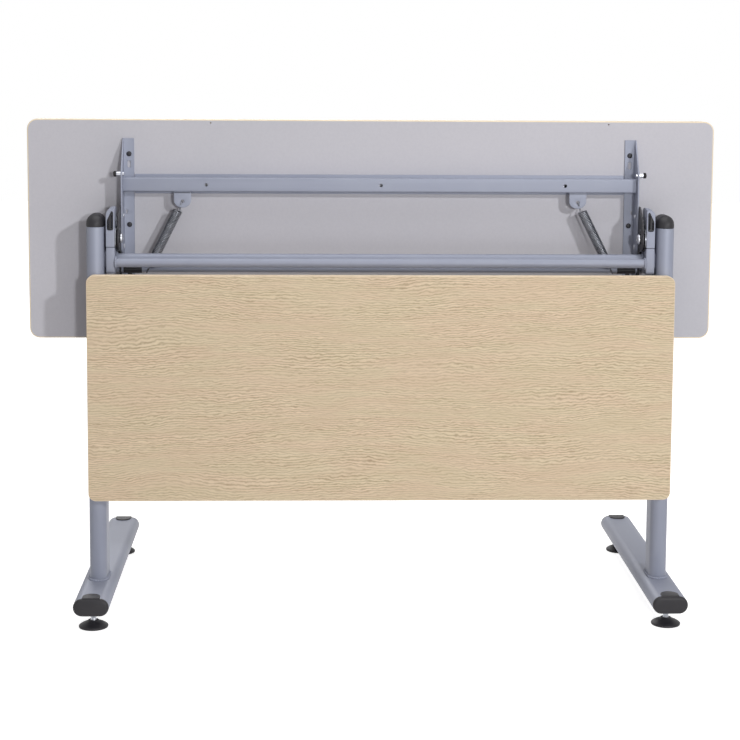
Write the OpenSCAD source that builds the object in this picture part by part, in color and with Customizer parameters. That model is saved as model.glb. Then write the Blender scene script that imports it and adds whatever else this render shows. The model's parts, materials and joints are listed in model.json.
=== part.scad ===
// Folding writing desk, drawn folded: the top hangs upright behind its columns.
// X runs along the desk, Y away from the audience side, Z up, floor at Z = 0.

/* [Tabletop] */
// Length of the tabletop
top_w = 1200; // [1100:10:1500]
// Depth of the tabletop, which is its height when folded
top_d = 384; // [370:2:450]
// Thickness of the tabletop with its laminates
top_t = 25; // [20:1:30]
// Corner radius of the tabletop
top_r = 18; // [8:1:30]
// Thickness of the edge band of the tabletop
top_band_t = 2; // [1:0.5:3]
// Thickness of the wood laminate and of the grey backing sheet
laminate_t = 0.8; // [0.6:0.1:1.5]
// Height of the folded top's lower edge above the floor
top_low_z = 473; // [450:1:490]
// How far the steel frame sits right of the tabletop's middle
frame_shift = 14; // [0:1:30]

/* [Hinge] */
// Height of the hinge axis
pivot_z = 655; // [648:1:665]
// Distance from the hinge axis to the underside of the tabletop
pivot_drop = 57; // [56:0.5:62]
// Diameter of the pivot bolt
pivot_d = 10; // [8:0.5:12]
// Diameter of the pivot bolt's head
pivot_head_d = 18; // [15:1:20]
// Thickness of the pivot bolt's head
pivot_head_t = 3.6; // [3:0.2:4.2]
// Radial play of a running fit
run_play = 0.05; // [0.03:0.01:0.1]
// Angle through which the top turns
flip_angle = 90; // [80:1:92]
// Distance from each arm's outer face to the inner face of the hinge head beside it
hinge_gap = 7; // [6:0.5:8]

/* [Arms] */
// Width of the leg that lies on the tabletop
arm_w = 20; // [18:1:30]
// Depth of the leg that stands off the tabletop
arm_leg = 40; // [34:1:42]
// Sheet thickness of the arms
arm_t = 2.5; // [2:0.25:3]
// Top end of the arms above the hinge axis
arm_up = 169; // [150:1:180]
// Bottom end of the arms below the hinge axis
arm_down = 88; // [80:1:110]
// Length over which the standing leg rises to its full depth
arm_taper = 58; // [40:1:60]
// Distance from an arm's top end to its upper screw
arm_screw_in = 27; // [20:1:34]
// Distance from an arm's top end to its oval slot
arm_slot_in = 44.5; // [40:0.5:60]
// Distance from an arm's bottom end to its lower screw
arm_low_screw_in = 18; // [10:1:30]
// Height of an arm's middle screw above the hinge axis
arm_mid_screw_up = 18.5; // [10:0.5:26]
// Distance from an arm's top end to its bumper stud
stud_in = 60; // [56:1:80]

/* [Rail and springs] */
// Height of the rail's middle above the hinge axis
rail_up = 90; // [84:1:96]
// Height of the rail tube
rail_h = 24; // [20:1:28]
// Depth of the rail tube
rail_dp = 25; // [20:1:30]
// Wall of the rail tube
rail_wall = 1.5; // [1.2:0.1:2]
// Height of the rail's mounting flange
flange_h = 34; // [30:1:44]
// Distance from the rail's left end to its left access hole
rail_hole_left = 144; // [120:1:200]
// Distance from the rail's right end to its right access hole
rail_hole_right = 125; // [120:1:200]
// Diameter of the access holes
rail_hole_d = 6; // [5:0.5:8]
// Distance from each arm to the middle of its spring tab
tab_in = 105; // [98:1:112]
// Width of a spring tab
tab_w = 30; // [28:1:36]
// Drop of a spring tab below the rail
tab_h = 28; // [26:1:30]
// Thickness of a spring tab
tab_t = 2.5; // [2:0.25:3]
// Diameter of the hole that takes the spring hook
tab_hole_d = 6; // [5.5:0.1:6.5]
// Wire diameter of a spring
wire_d = 2.2; // [2:0.1:2.2]
// Outer diameter of a spring
spring_od = 17; // [14:0.5:18]
// Rise of one curl of a spring
curl_pitch = 2.7; // [2.7:0.05:3.2]
// Length of the bare wire between each eye and the curls
spring_lead = 13; // [13:0.5:18]
// How far a spring's lower end lies nearer to the arm than its upper end
spring_lean = 59; // [54:1:66]

/* [Lock] */
// Diameter of the lock rod
rod_d = 8; // [6:0.5:9]
// Distance of the lock rod behind the hinge axis
rod_back = 24; // [23:0.5:26]
// Distance of the released lock rod below the hinge axis
rod_down = 57; // [56:0.5:59]
// Travel of the lock rod between released and locked
rod_travel = 12; // [10:0.5:13]
// How far the rod's ends reach past the inner faces of the hinge heads
rod_past = 1.5; // [0.5:0.5:3]
// Distance from the middle of a spring's lower eye to the black sleeve beside it
sleeve_gap = 6; // [5:0.5:10]
// Outer diameter of the sleeves
sleeve_d = 12; // [11:0.5:13]
// Radius of the lock plate's rim
rim_r = 54; // [53:0.25:54.4]
// Thickness of the lock plate
lock_t = 2; // [1.5:0.25:2.2]
// Thickness of the pivot plate
plate_t = 3; // [2.5:0.25:3.2]
// Radius on which the stop pin travels
stop_r = 16; // [15.5:0.5:17]
// Diameter of the stop pin
stop_d = 5; // [4:0.5:5]

/* [Columns and beams] */
// Half the tabletop's length less the distance from the frame's middle to each column
col_inset = 110.5; // [95:0.5:125]
// Width of the oval column tube
col_w = 30; // [24:1:32]
// Depth of the oval column tube
col_d = 60; // [50:1:62]
// Wall of the column tube
col_wall = 2; // [1.5:0.25:2.5]
// Height of the column's upper end
col_top = 676; // [668:1:680]
// Height of the domed cap on a column
cap_h = 22; // [20:0.5:24]
// Diameter of the two beams between the columns
beam_d = 16; // [14:0.5:18]
// Wall of the beams
beam_wall = 1.5; // [1.2:0.1:2]
// Front beam in front of the hinge axis
beam_front_y = -16; // [-18:0.5:-14]
// Front beam below the hinge axis
beam_front_down = 40.5; // [39:0.5:44]
// Rear beam behind the hinge axis
beam_rear_y = 5.5; // [4:0.5:6]
// Rear beam below the hinge axis
beam_rear_down = 35; // [34:0.5:38]

/* [Hinge posts and heads] */
// Gap between a hinge head and its column, which the weld bridges
head_gap = 3.5; // [2:0.5:6]
// Thickness of a hinge head
head_w = 15; // [13:0.5:17]
// Front face of the head in front of the hinge axis
head_front = 22; // [20:1:26]
// Rear face of the head behind the hinge axis
head_rear = 16; // [14:0.5:17]
// Radius of the head's crown about the hinge axis
head_r = 55; // [50:0.5:55]
// Drop of the head's outer shoulder below its crown
crown_h = 19; // [14:0.5:24]
// Joint line between post and head below the hinge axis
head_joint = 13; // [11:0.5:16]
// Lower end of the posts below the hinge axis
post_down = 59; // [56:1:64]
// Depth of the insert pocket in the head
pocket_dp = 9; // [6:0.5:9.5]
// Lower end of the pocket above the hinge axis
pocket_low = 15; // [12:0.5:18]
// Upper end of the pocket above the hinge axis
pocket_top = 48; // [45:0.5:49]

/* [Feet] */
// Width of the oval foot tube
foot_w = 60; // [50:1:66]
// Height of the oval foot tube
foot_h = 30; // [25:1:32]
// Wall of the foot tube
foot_wall = 2; // [1.5:0.25:2.5]
// Reach of the foot in front of the columns
foot_front = 140; // [120:1:180]
// Reach of the foot behind the columns
foot_rear = 410; // [360:1:440]
// Clearance between the floor and the foot tube
foot_z = 30; // [28:1:38]
// Thickness of the end cap's face
foot_cap_t = 7; // [5:0.5:9]
// Width of the tongue on an end cap
tongue_w = 30; // [20:1:30]
// Length of the tongue on an end cap
tongue_l = 30; // [24:1:36]
// Thickness of the tongue on an end cap
tongue_t = 2; // [1.5:0.25:3]
// Distance from the foot's end to its glide
glide_in = 42; // [34:1:60]
// Diameter of a glide pad
glide_d = 50; // [40:1:56]
// Height of a glide pad
glide_h = 13; // [11:0.5:14]
// Diameter of a glide stem
stem_d = 10; // [8:0.5:12]
// Travel of a glide
glide_travel = 8; // [5:1:10]

/* [Modesty panel] */
// How far the panel reaches past the middle of each column
panel_over = 12.5; // [9:0.5:30]
// Height of the panel
panel_h = 390; // [300:1:391]
// Thickness of the panel
panel_t = 18; // [15:1:19]
// Corner radius of the panel
panel_r = 13; // [6:1:20]
// Thickness of the panel's edge band
panel_band_t = 1; // [0.8:0.1:2]
// Height of the panel's lower edge
panel_z = 206; // [190:1:207]
// Gap between panel and columns, filled by spacers
panel_gap = 2; // [1.5:0.5:6]
// Diameter of the spacers
spacer_d = 18; // [14:1:22]
// Distance from the panel's lower and upper edges to its screws
panel_fix_in = 65; // [40:1:80]

/* [Fasteners] */
// Diameter of the wood screws' shanks
screw_d = 4; // [3.5:0.1:5]
// Diameter of the wood screws' heads
screw_head_d = 9; // [7:0.5:10]
// Length of the wood screws in the board
screw_l = 15; // [10:1:17]
// Length of a bumper stud
stud_l = 8; // [6:0.5:9]
// Diameter of a bumper stud
stud_d = 8; // [6:0.5:9]
// Length of the rubber tip on a stud
tip_l = 5; // [4:0.5:6]

/* [Hidden] */
$fn = 48;

steel = [0.70, 0.71, 0.75];
zinc = [0.80, 0.80, 0.82];
black = [0.13, 0.13, 0.14];
gunmetal = [0.30, 0.31, 0.33];
oak = [0.80, 0.72, 0.60];
oak_light = [0.86, 0.80, 0.70];
grey_sheet = [0.74, 0.72, 0.74];
cream = [0.90, 0.87, 0.80];
chipboard = [0.72, 0.60, 0.44];

left = -1;
right = 1;
fit_gap = 0.15;
seat_gap = 0.3;

column_y = (foot_front - foot_rear) / 2;
under_y = pivot_drop;
col_x = top_w / 2 - col_inset;
col_in = col_x - col_w / 2;
head_out = col_in - head_gap;
head_x = head_out - head_w;
arm_x = head_x - hinge_gap;
rod_x = head_x + rod_past;
panel_w = 2 * (col_x + panel_over);
leg_y = under_y - arm_leg;
arm_in = arm_x - arm_w;
plate_x = arm_x;
plate_out = plate_x + plate_t;
lock_x = head_x - lock_t;
flange_t = (lock_x - plate_out) - 0.2;
foot_top = foot_z + foot_h;
rail_z = pivot_z + rail_up;
rail_y = under_y - arm_t - rail_dp;
tab_low_z = rail_z - rail_h / 2 - tab_h;
tab_x = arm_x - tab_in;
tab_y = rail_y + 2;
hook_z = tab_low_z + tab_hole_d / 2 + 8;
rod_z = pivot_z - rod_down;
slot_w = rod_d + 0.6;
post_low_z = pivot_z - post_down;
joint_z = pivot_z - head_joint;
panel_y = -col_d / 2 - panel_gap - panel_t;

module in_frame() {
    translate([frame_shift, column_y, 0]) children();
}

module on_side(side) {
    in_frame() {
        if (side > 0) children();
        else mirror([1, 0, 0]) children();
    }
}

module along_x(x0, length) {
    translate([x0, 0, 0]) rotate([90, 0, 90]) linear_extrude(length) children();
}

module along_y(y0, length) {
    translate([0, y0 + length, 0]) rotate([90, 0, 0]) linear_extrude(length) children();
}

module rod_x_at(x0, length, y, z, d) {
    translate([x0, y, z]) rotate([0, 90, 0]) cylinder(h = length, d = d);
}

module rod_y_at(x, y0, length, z, d) {
    translate([x, y0, z]) rotate([-90, 0, 0]) cylinder(h = length, d = d);
}

module stadium(w, h) {
    r = min(w, h) / 2;
    dx = w / 2 - r;
    dy = h / 2 - r;
    square([w - (dx > 0 ? 2 * r : 0), h - (dy > 0 ? 2 * r : 0)], center = true);
    translate([-dx, -dy]) circle(r);
    translate([dx, dy]) circle(r);
}

module rounded_sheet(w, h, r) {
    square([w - 2 * r, h], center = true);
    square([w, h - 2 * r], center = true);
    for (sx = [-1, 1], sy = [-1, 1])
        translate([sx * (w / 2 - r), sy * (h / 2 - r)]) circle(r);
}

// Tabletop

module board_at(y0, t, trim) {
    translate([0, column_y, top_low_z + top_d / 2])
        along_y(y0, t)
            rounded_sheet(top_w - 2 * trim, top_d - 2 * trim, top_r - trim);
}

// Two pilot holes near the folded top edge, on the underside
pilot_x = [-282, 414];
pilot_in = 6;
pilot_d = 2.5;

module pilot_holes() {
    for (x = pilot_x)
        translate([x, column_y, 0])
            rod_y_at(0, under_y - 1, 8, top_low_z + top_d - pilot_in, pilot_d);
}

module screw_holes() {
    for (side = [left, right])
        on_side(side)
            for (z = arm_screw_z) rod_y_at(arm_mid, under_y - 1, screw_l + 1.5, z, screw_d);
    in_frame()
        for (x = rail_screw_x) rod_y_at(x, under_y - 1, screw_l + 1.5, rail_z, screw_d);
}

module tabletop_core() {
    color(chipboard)
        difference() {
            board_at(under_y + laminate_t, top_t - 2 * laminate_t, top_band_t);
            pilot_holes();
            screw_holes();
        }
}

module tabletop_laminate() {
    color(oak) board_at(under_y + top_t - laminate_t, laminate_t, top_band_t);
}

module tabletop_backer() {
    color(grey_sheet)
        difference() {
            board_at(under_y, laminate_t, top_band_t);
            pilot_holes();
            screw_holes();
        }
}

module tabletop_edge_band() {
    color(cream)
        difference() {
            board_at(under_y, top_t, 0);
            board_at(under_y - 1, top_t + 2, top_band_t);
        }
}

// Arms: folded steel angles that carry the top

arm_mid = arm_in + (arm_w - arm_t) / 2;
arm_screw_z = [
    pivot_z + arm_up - arm_screw_in,
    pivot_z + arm_mid_screw_up,
    pivot_z - arm_down + arm_low_screw_in,
];
arm_slot_z = pivot_z + arm_up - arm_slot_in;
arm_notch_z = pivot_z + 38;
arm_top_z = pivot_z + arm_up;
arm_low_z = pivot_z - arm_down;

module arm_leg_outline() {
    rod_clear_y = rod_back + sleeve_d / 2 + 1;
    polygon([
        [under_y, arm_top_z],
        [under_y - arm_t, arm_top_z],
        [leg_y, arm_top_z - arm_taper],
        [leg_y, pivot_z - 24],
        [rod_clear_y, pivot_z - 34],
        [rod_clear_y, arm_low_z + 8],
        [under_y - arm_t, arm_low_z],
        [under_y, arm_low_z],
    ]);
}

module arm(side) {
    color(steel)
        on_side(side)
            difference() {
                union() {
                    along_x(arm_x - arm_t, arm_t) arm_leg_outline();
                    translate([arm_in, under_y - arm_t, arm_low_z])
                        cube([arm_w, arm_t, arm_up + arm_down]);
                }
                for (z = arm_screw_z) rod_y_at(arm_mid, under_y - arm_t - 1, arm_t + 2, z, screw_d + 0.6);
                translate([arm_mid, 0, arm_slot_z]) along_y(under_y - arm_t - 1, arm_t + 2) stadium(6, 13);
                translate([arm_in + arm_w - 8, under_y - arm_t - 1, arm_notch_z]) cube([3, arm_t + 2, 7]);
                for (p = rivet_at) rod_x_at(arm_x - arm_t - 1, arm_t + 2, p[0], p[1], rivet_d);
                rod_x_at(arm_x - arm_t - 1, arm_t + 2, stud_y, stud_z, stud_d - 2);
            }
}

// Rail: a rectangular tube across the arms, with a flange on the tabletop between them

rail_end_x = arm_x - arm_t;
rail_screw_x = [rail_hole_left - rail_end_x, 0, rail_end_x - rail_hole_right];

module cross_rail() {
    color(steel)
        in_frame()
            difference() {
                union() {
                    difference() {
                        translate([-rail_end_x, rail_y, rail_z - rail_h / 2])
                            cube([2 * rail_end_x, rail_dp, rail_h]);
                        translate([-rail_end_x - 1, rail_y + rail_wall, rail_z - rail_h / 2 + rail_wall])
                            cube([2 * rail_end_x + 2, rail_dp - 2 * rail_wall, rail_h - 2 * rail_wall]);
                    }
                    translate([-arm_in + 1, under_y - arm_t, rail_z - flange_h / 2])
                        cube([2 * arm_in - 2, arm_t, flange_h]);
                }
                for (x = rail_screw_x) {
                    rod_y_at(x, rail_y - 1, rail_wall + 2, rail_z, rail_hole_d);
                    rod_y_at(x, rail_y + rail_wall + 1, rail_dp + arm_t, rail_z, screw_d + 0.6);
                }
            }
}

module spring_tab(side) {
    r = tab_w / 2;
    color(steel)
        on_side(side)
            difference() {
                union() {
                    along_y(tab_y, tab_t)
                        translate([tab_x, tab_low_z])
                            intersection() {
                                union() {
                                    translate([0, r * 0.9]) circle(r * 0.9);
                                    translate([-r, r * 0.9]) square([tab_w, tab_h - r * 0.9]);
                                }
                                translate([-r, 0]) square([tab_w, tab_h]);
                            }
                    translate([tab_x - r, tab_y, tab_low_z + tab_h - tab_t])
                        cube([tab_w, rail_dp - 6, tab_t]);
                }
                rod_y_at(tab_x, tab_y - 1, tab_t + 2, hook_z, tab_hole_d);
            }
}

// Pivot plates: black plates riveted to the arms, which hang the top on its two bolts

rivet_d = 5;
rivet_at = [[under_y - 14, pivot_z + 36], [under_y - 14, pivot_z - 18]];
plate_front = 17;
plate_low_r = 22;
bush_d = pivot_d + 4;
lug_y = rod_back + sleeve_d / 2 + 5;
lug_low = rod_down + slot_w / 2 + 5;

module pivot_plate_outline() {
    polygon([
        [-plate_front, pivot_z - 3],
        [-plate_front, pivot_z + 30],
        [leg_y - 2, pivot_z + 55],
        [under_y - 5, pivot_z + 55],
        [under_y - 5, pivot_z - 30],
        [lug_y, pivot_z - 40],
        [lug_y, pivot_z - lug_low + 4],
        [lug_y - 4, pivot_z - lug_low],
        [rod_back - slot_w / 2 - 3 + 2, pivot_z - lug_low],
        [rod_back - slot_w / 2 - 3, pivot_z - lug_low + 3],
        [rod_back - slot_w / 2 - 3, pivot_z - 20],
        [5, pivot_z - 3],
    ]);
}

module travel_slot(w, z_high, z_low) {
    translate([-w / 2, z_low]) square([w, z_high - z_low]);
    translate([0, z_low]) circle(d = w);
    translate([0, z_high]) circle(d = w);
}

module pivot_plate(side) {
    color(black)
        on_side(side)
            difference() {
                union() {
                    along_x(plate_x, plate_t)
                        difference() {
                            pivot_plate_outline();
                            translate([rod_back, 0])
                                travel_slot(slot_w, rod_z + rod_travel, rod_z);
                        }
                    rod_x_at(plate_x, plate_t, 0, pivot_z, 2 * plate_low_r);
                }
                rod_x_at(plate_x - 1, plate_t + 2, 0, pivot_z, bush_d);
                rod_x_at(plate_x - 1, plate_t + 2, 0, pivot_z + stop_r, stop_d);
                for (p = rivet_at) rod_x_at(plate_x - 1, plate_t + 2, p[0], p[1], rivet_d);
            }
}

module pivot_bushes() {
    color(black)
        for (side = [left, right])
            on_side(side)
                difference() {
                    union() {
                        rod_x_at(plate_x, plate_t, 0, pivot_z, bush_d);
                        rod_x_at(plate_out, flange_t, 0, pivot_z, bush_d + 4);
                        rod_x_at(plate_x - flange_t, flange_t, 0, pivot_z, bush_d + 4);
                    }
                    rod_x_at(plate_x - 5, plate_t + 10, 0, pivot_z, pivot_d + 2 * run_play);
                }
}

module stop_pins() {
    color(zinc)
        for (side = [left, right])
            on_side(side)
                rod_x_at(plate_x, head_x - plate_x - seat_gap, 0, pivot_z + stop_r, stop_d);
}

module plate_rivets() {
    color(zinc)
        for (side = [left, right])
            on_side(side)
                for (p = rivet_at) {
                    rod_x_at(arm_x - arm_t, arm_t + plate_t, p[0], p[1], rivet_d);
                    rod_x_at(arm_x - arm_t - 1.6, 1.6, p[0], p[1], rivet_d + 4);
                }
}

// Screws that hold arms and rail to the board

module wood_screw(x, y, z) {
    rod_y_at(x, y, screw_l + arm_t, z, screw_d);
    rod_y_at(x, y - 2.2, 2.2, z, screw_head_d);
}

module arm_screws() {
    color(gunmetal)
        for (side = [left, right])
            on_side(side)
                for (z = arm_screw_z) wood_screw(arm_mid, under_y - arm_t, z);
}

module rail_screws() {
    color(zinc)
        in_frame()
            for (x = rail_screw_x) {
                rod_y_at(x, under_y - arm_t - rail_wall, screw_l + arm_t + rail_wall, rail_z, screw_d);
                rod_y_at(x, under_y - arm_t - rail_wall - 2.2, 2.2, rail_z, screw_head_d);
            }
}

// Bumper studs on the outer faces of the arms

stud_y = leg_y + 7;
stud_z = pivot_z + arm_up - stud_in;

module bumper_studs() {
    color(zinc)
        for (side = [left, right])
            on_side(side) {
                rod_x_at(arm_x, stud_l, stud_y, stud_z, stud_d);
                rod_x_at(arm_x - arm_t - 3, arm_t + 3, stud_y, stud_z, stud_d - 2);
            }
}

module bumper_tips() {
    color(black)
        for (side = [left, right])
            on_side(side)
                rod_x_at(arm_x + stud_l, tip_l, stud_y, stud_z, stud_d + 2);
}

// Springs: one unbroken wire each, with a hook at both ends

coil_r = (spring_od - wire_d) / 2;
hook_r = rod_d / 2 + wire_d / 2 + 1.1;
tab_eye_r = 3.4;
hook_drop = 1.1;
ring_sides = 6;
rings_per_curl = 8;
tab_hole = [tab_x, tab_y + tab_t / 2, hook_z];
spring_to = [tab_x + spring_lean, rod_back, rod_z];
spring_from = tab_hole + (tab_eye_r + hook_drop) * unit(spring_to - tab_hole);
spring_span = norm(spring_to - spring_from);
curls = floor((spring_span - 2 * spring_lead) / curl_pitch);
coil_len = curls * curl_pitch;
coil_start = (spring_span - coil_len) / 2;

function unit(v) = v / norm(v);
function bezier(a, b, c, d, t) =
    pow(1 - t, 3) * a + 3 * pow(1 - t, 2) * t * b + 3 * (1 - t) * t * t * c + pow(t, 3) * d;

// Hook at the start, drawn about the origin; it ends where the coil begins
function start_hook(eye_r, lead) = concat(
    [[0, -eye_r, 1.1 * wire_d], [0, -eye_r, 0.55 * wire_d]],
    [for (a = [0 : 22.5 : 180]) [0, -eye_r * cos(a), -eye_r * sin(a)]],
    [for (t = [0.2 : 0.2 : 0.8])
        bezier([0, eye_r, 0], [0, eye_r * 1.75, lead], [coil_r, -coil_r * 0.7, lead - 0.4],
            [coil_r, 0, lead], t)]
);

function coil_points(z0) =
    [for (i = [0 : curls * rings_per_curl])
        let (a = 360 * i / rings_per_curl)
        [coil_r * cos(a), coil_r * sin(a), z0 + curl_pitch * i / rings_per_curl]];

function flipped(points, z) =
    [for (i = [len(points) - 1 : -1 : 0]) [points[i][0], -points[i][1], z - points[i][2]]];

function wire_path(span, z0) = concat(
    start_hook(tab_eye_r, z0),
    coil_points(z0),
    flipped(start_hook(hook_r, z0), span)
);

function tangent(points, i) =
    let (n = len(points) - 1) unit(points[min(i + 1, n)] - points[max(i - 1, 0)]);

function rolled(points) =
    [for (i = 0, u = unit(cross(tangent(points, 0), [1, 0, 0]));
        i < len(points);
        i = i + 1,
        u = i < len(points) ? let (t = tangent(points, i)) unit(u - (u * t) * t) : u) u];

module swept_wire(points, d) {
    normals = rolled(points);
    n = len(points);
    rings = [for (i = [0 : n - 1])
        let (t = tangent(points, i), u = normals[i], v = cross(t, u))
        for (s = [0 : ring_sides - 1])
            points[i] + d / 2 * (cos(360 * s / ring_sides) * u + sin(360 * s / ring_sides) * v)];
    skin = [for (i = [0 : n - 2], s = [0 : ring_sides - 1])
        let (a = i * ring_sides + s, b = i * ring_sides + (s + 1) % ring_sides)
        each [[a, a + ring_sides, b + ring_sides], [a, b + ring_sides, b]]];
    cap_a = [for (s = [1 : ring_sides - 2]) [0, s, s + 1]];
    last = (n - 1) * ring_sides;
    cap_b = [for (s = [1 : ring_sides - 2]) [last, last + s + 1, last + s]];
    polyhedron(points = rings, faces = concat(skin, cap_a, cap_b), convexity = 12);
}

function least_gap(points, skip) =
    min([for (i = [0 : len(points) - 1 - skip], j = [i + skip : len(points) - 1])
        norm(points[i] - points[j])]) - wire_d;

spring_wire = wire_path(spring_span, coil_start);

module spring(side) {
    aim = unit(spring_to - spring_from);
    side_axis = unit(cross([0, 1, 0], aim));
    up_axis = cross(aim, side_axis);
    color(gunmetal)
        on_side(side)
            multmatrix([
                [side_axis[0], up_axis[0], aim[0], spring_from[0]],
                [side_axis[1], up_axis[1], aim[1], spring_from[1]],
                [side_axis[2], up_axis[2], aim[2], spring_from[2]],
                [0, 0, 0, 1],
            ])
                swept_wire(spring_wire, wire_d);
}

// Lock rod with its black sleeves

module lock_rod() {
    color(steel)
        in_frame() rod_x_at(-rod_x, 2 * rod_x, rod_back, rod_z, rod_d);
}

module rod_sleeves() {
    sleeve_from = spring_to[0] + sleeve_gap;
    sleeve_l = arm_x - arm_t - 1 - sleeve_from;
    color(black)
        for (side = [left, right])
            on_side(side)
                difference() {
                    rod_x_at(sleeve_from, sleeve_l, rod_back, rod_z, sleeve_d);
                    rod_x_at(sleeve_from - 1, sleeve_l + 2, rod_back, rod_z, rod_d);
                }
}

// Columns

module column(side) {
    color(steel)
        on_side(side)
            difference() {
                translate([col_x, 0, foot_top])
                    linear_extrude(col_top - foot_top)
                        difference() {
                            stadium(col_w, col_d);
                            stadium(col_w - 2 * col_wall, col_d - 2 * col_wall);
                        }
                for (z = panel_fix_z) rod_y_at(col_x, -col_d, 2 * col_d, z, screw_d + 1);
            }
}

module column_cap(side) {
    dome_r = col_w / 2;
    shoulder_r = cap_h - 3;
    plug_w = col_w - 2 * col_wall - 2 * fit_gap;
    plug_d = col_d - 2 * col_wall - 2 * fit_gap;
    color(black)
        on_side(side)
            translate([col_x, 0, col_top]) {
                intersection() {
                    linear_extrude(cap_h) stadium(col_w, col_d);
                    along_y(-col_d, 2 * col_d) {
                        translate([-dome_r, 0]) square([col_w, cap_h - dome_r]);
                        translate([0, cap_h - dome_r]) circle(dome_r);
                    }
                    along_x(-col_w, 2 * col_w) {
                        translate([-col_d / 2, 0]) square([col_d, cap_h - shoulder_r]);
                        for (s = [-1, 1])
                            translate([s * (col_d / 2 - shoulder_r), cap_h - shoulder_r]) circle(shoulder_r);
                        translate([shoulder_r - col_d / 2, 0]) square([col_d - 2 * shoulder_r, cap_h]);
                    }
                }
                translate([0, 0, -14]) linear_extrude(14) stadium(plug_w, plug_d);
            }
}

// Beams between the hinge posts

module beam(y, z) {
    color(steel)
        in_frame()
            difference() {
                rod_x_at(-head_x, 2 * head_x, y, z, beam_d);
                rod_x_at(-head_x - 1, 2 * head_x + 2, y, z, beam_d - 2 * beam_wall);
            }
}

module front_beam() {
    beam(beam_front_y, pivot_z - beam_front_down);
}

module rear_beam() {
    vent_x = -262;
    z = pivot_z - beam_rear_down;
    difference() {
        beam(beam_rear_y, z);
        color(steel)
            in_frame() translate([vent_x, beam_rear_y, z]) cylinder(h = beam_d, d = 3);
    }
}

// Hinge posts: welded to the columns, with a tang that carries the bolt inside the head

tang_x = head_x + 3;
tang_w = head_w - 6;
tang_front = 12;
tang_rear = 11;
tang_top = pivot_z + 14;
post_r = 5;
weld_w = col_in - head_out;

module post_outline() {
    h = joint_z - 1 - post_low_z;
    depth = head_front + head_rear - 2;
    translate([(head_rear - head_front) / 2, post_low_z + h / 2]) {
        square([depth - 2 * post_r, h], center = true);
        translate([0, post_r / 2]) square([depth, h - post_r], center = true);
        for (s = [-1, 1]) translate([s * (depth / 2 - post_r), post_r - h / 2]) circle(post_r);
    }
}

module hinge_post(side) {
    color(steel)
        on_side(side)
            difference() {
                union() {
                    along_x(head_x, head_w) post_outline();
                    translate([tang_x, -tang_front, joint_z - 2])
                        cube([tang_w, tang_front + tang_rear, tang_top - joint_z + 2]);
                    translate([head_out - 1, -10, post_low_z + 8])
                        cube([weld_w + 1, 20, joint_z - post_low_z - 16]);
                }
                rod_x_at(head_x - 1, head_w + 2, 0, pivot_z, pivot_d);
            }
}

// Hinge heads: rounded castings over the tangs

crown_w = head_w - 3;
crown_steps = 10;

module head_front_outline() {
    top_z = pivot_z + head_r + 0.6;
    polygon(concat(
        [[head_x, joint_z], [head_out, joint_z], [head_out, top_z - crown_h]],
        [for (i = [1 : crown_steps])
            let (a = 90 * i / crown_steps)
            [head_out - crown_w * (1 - cos(a)), top_z - crown_h * (1 - sin(a))]],
        [[head_x, top_z + 1]]
    ));
}

module head_side_outline() {
    a_rear = acos(head_rear / head_r);
    a_front = 180 - acos(head_front / head_r);
    steps = 14;
    polygon(concat(
        [[-head_front, joint_z], [head_rear, joint_z]],
        [for (i = [0 : steps])
            let (a = a_rear + (a_front - a_rear) * i / steps)
            [head_r * cos(a), pivot_z + head_r * sin(a)]]
    ));
}

pocket_rim = 2;
pocket_r = 3;
shoulder_z = pivot_z + head_r - crown_h - 2 * pocket_rim;

// Pocket of the insert: round below, and sloping under the crown above
module pocket_outline() {
    low_z = pivot_z + pocket_low;
    top_z = pivot_z + pocket_top;
    x0 = head_x + pocket_rim;
    x1 = head_out - pocket_rim;
    polygon(concat(
        [for (i = [0 : 6])
            let (a = 180 + 90 * i / 6)
            [x0 + pocket_r + pocket_r * cos(a), low_z + pocket_r + pocket_r * sin(a)]],
        [for (i = [0 : 6])
            let (a = 270 + 90 * i / 6)
            [x1 - pocket_r + pocket_r * cos(a), low_z + pocket_r + pocket_r * sin(a)]],
        [[x1, shoulder_z], [x0 + pocket_r, top_z], [x0 + pocket_r / 3, top_z - pocket_r / 3],
            [x0, top_z - pocket_r]]
    ));
}

module hinge_head(side) {
    color(steel)
        on_side(side)
            difference() {
                intersection() {
                    along_x(head_x - 1, head_w + 2) head_side_outline();
                    along_y(-head_front - 1, head_front + head_rear + 2) head_front_outline();
                }
                translate([tang_x - fit_gap, -tang_front - fit_gap, joint_z - 1])
                    cube([tang_w + 2 * fit_gap, tang_front + tang_rear + 2 * fit_gap,
                        tang_top - joint_z + 1 + fit_gap]);
                along_y(-head_front - 1, pocket_dp + 1) pocket_outline();
                rod_x_at(head_x - 1, head_w + 2, 0, pivot_z, pivot_d);
                plate_screw_bores();
            }
}

// Black insert in the head's pocket, with a long slot inside and a short one outside
slot_xs = [2, 8];
slot_hs = [24, 12];

module head_insert(side) {
    inset = 1.5;
    slot_low = pivot_z + pocket_low + 3;
    color(black)
        on_side(side)
            difference() {
                along_y(-head_front + inset, pocket_dp - inset) pocket_outline();
                for (i = [0, 1])
                    translate([head_x + pocket_rim + slot_xs[i], -head_front, slot_low])
                        cube([2, pocket_dp - 3, slot_hs[i]]);
            }
}

// Lock plates: fixed plates with one notch for each position and an arc slot for the stop pin

lock_front = rod_back - slot_w / 2 - 3.2;
lock_top = rod_back + slot_w / 2 + 8;
hub_r = stop_r + stop_d / 2 + seat_gap + 3;

module notch(angle) {
    rotate(angle)
        translate([rod_back, -rod_down + rod_travel]) {
            circle(d = slot_w);
            translate([-slot_w / 2, -rod_down]) square([slot_w, rod_down]);
        }
}

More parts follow.
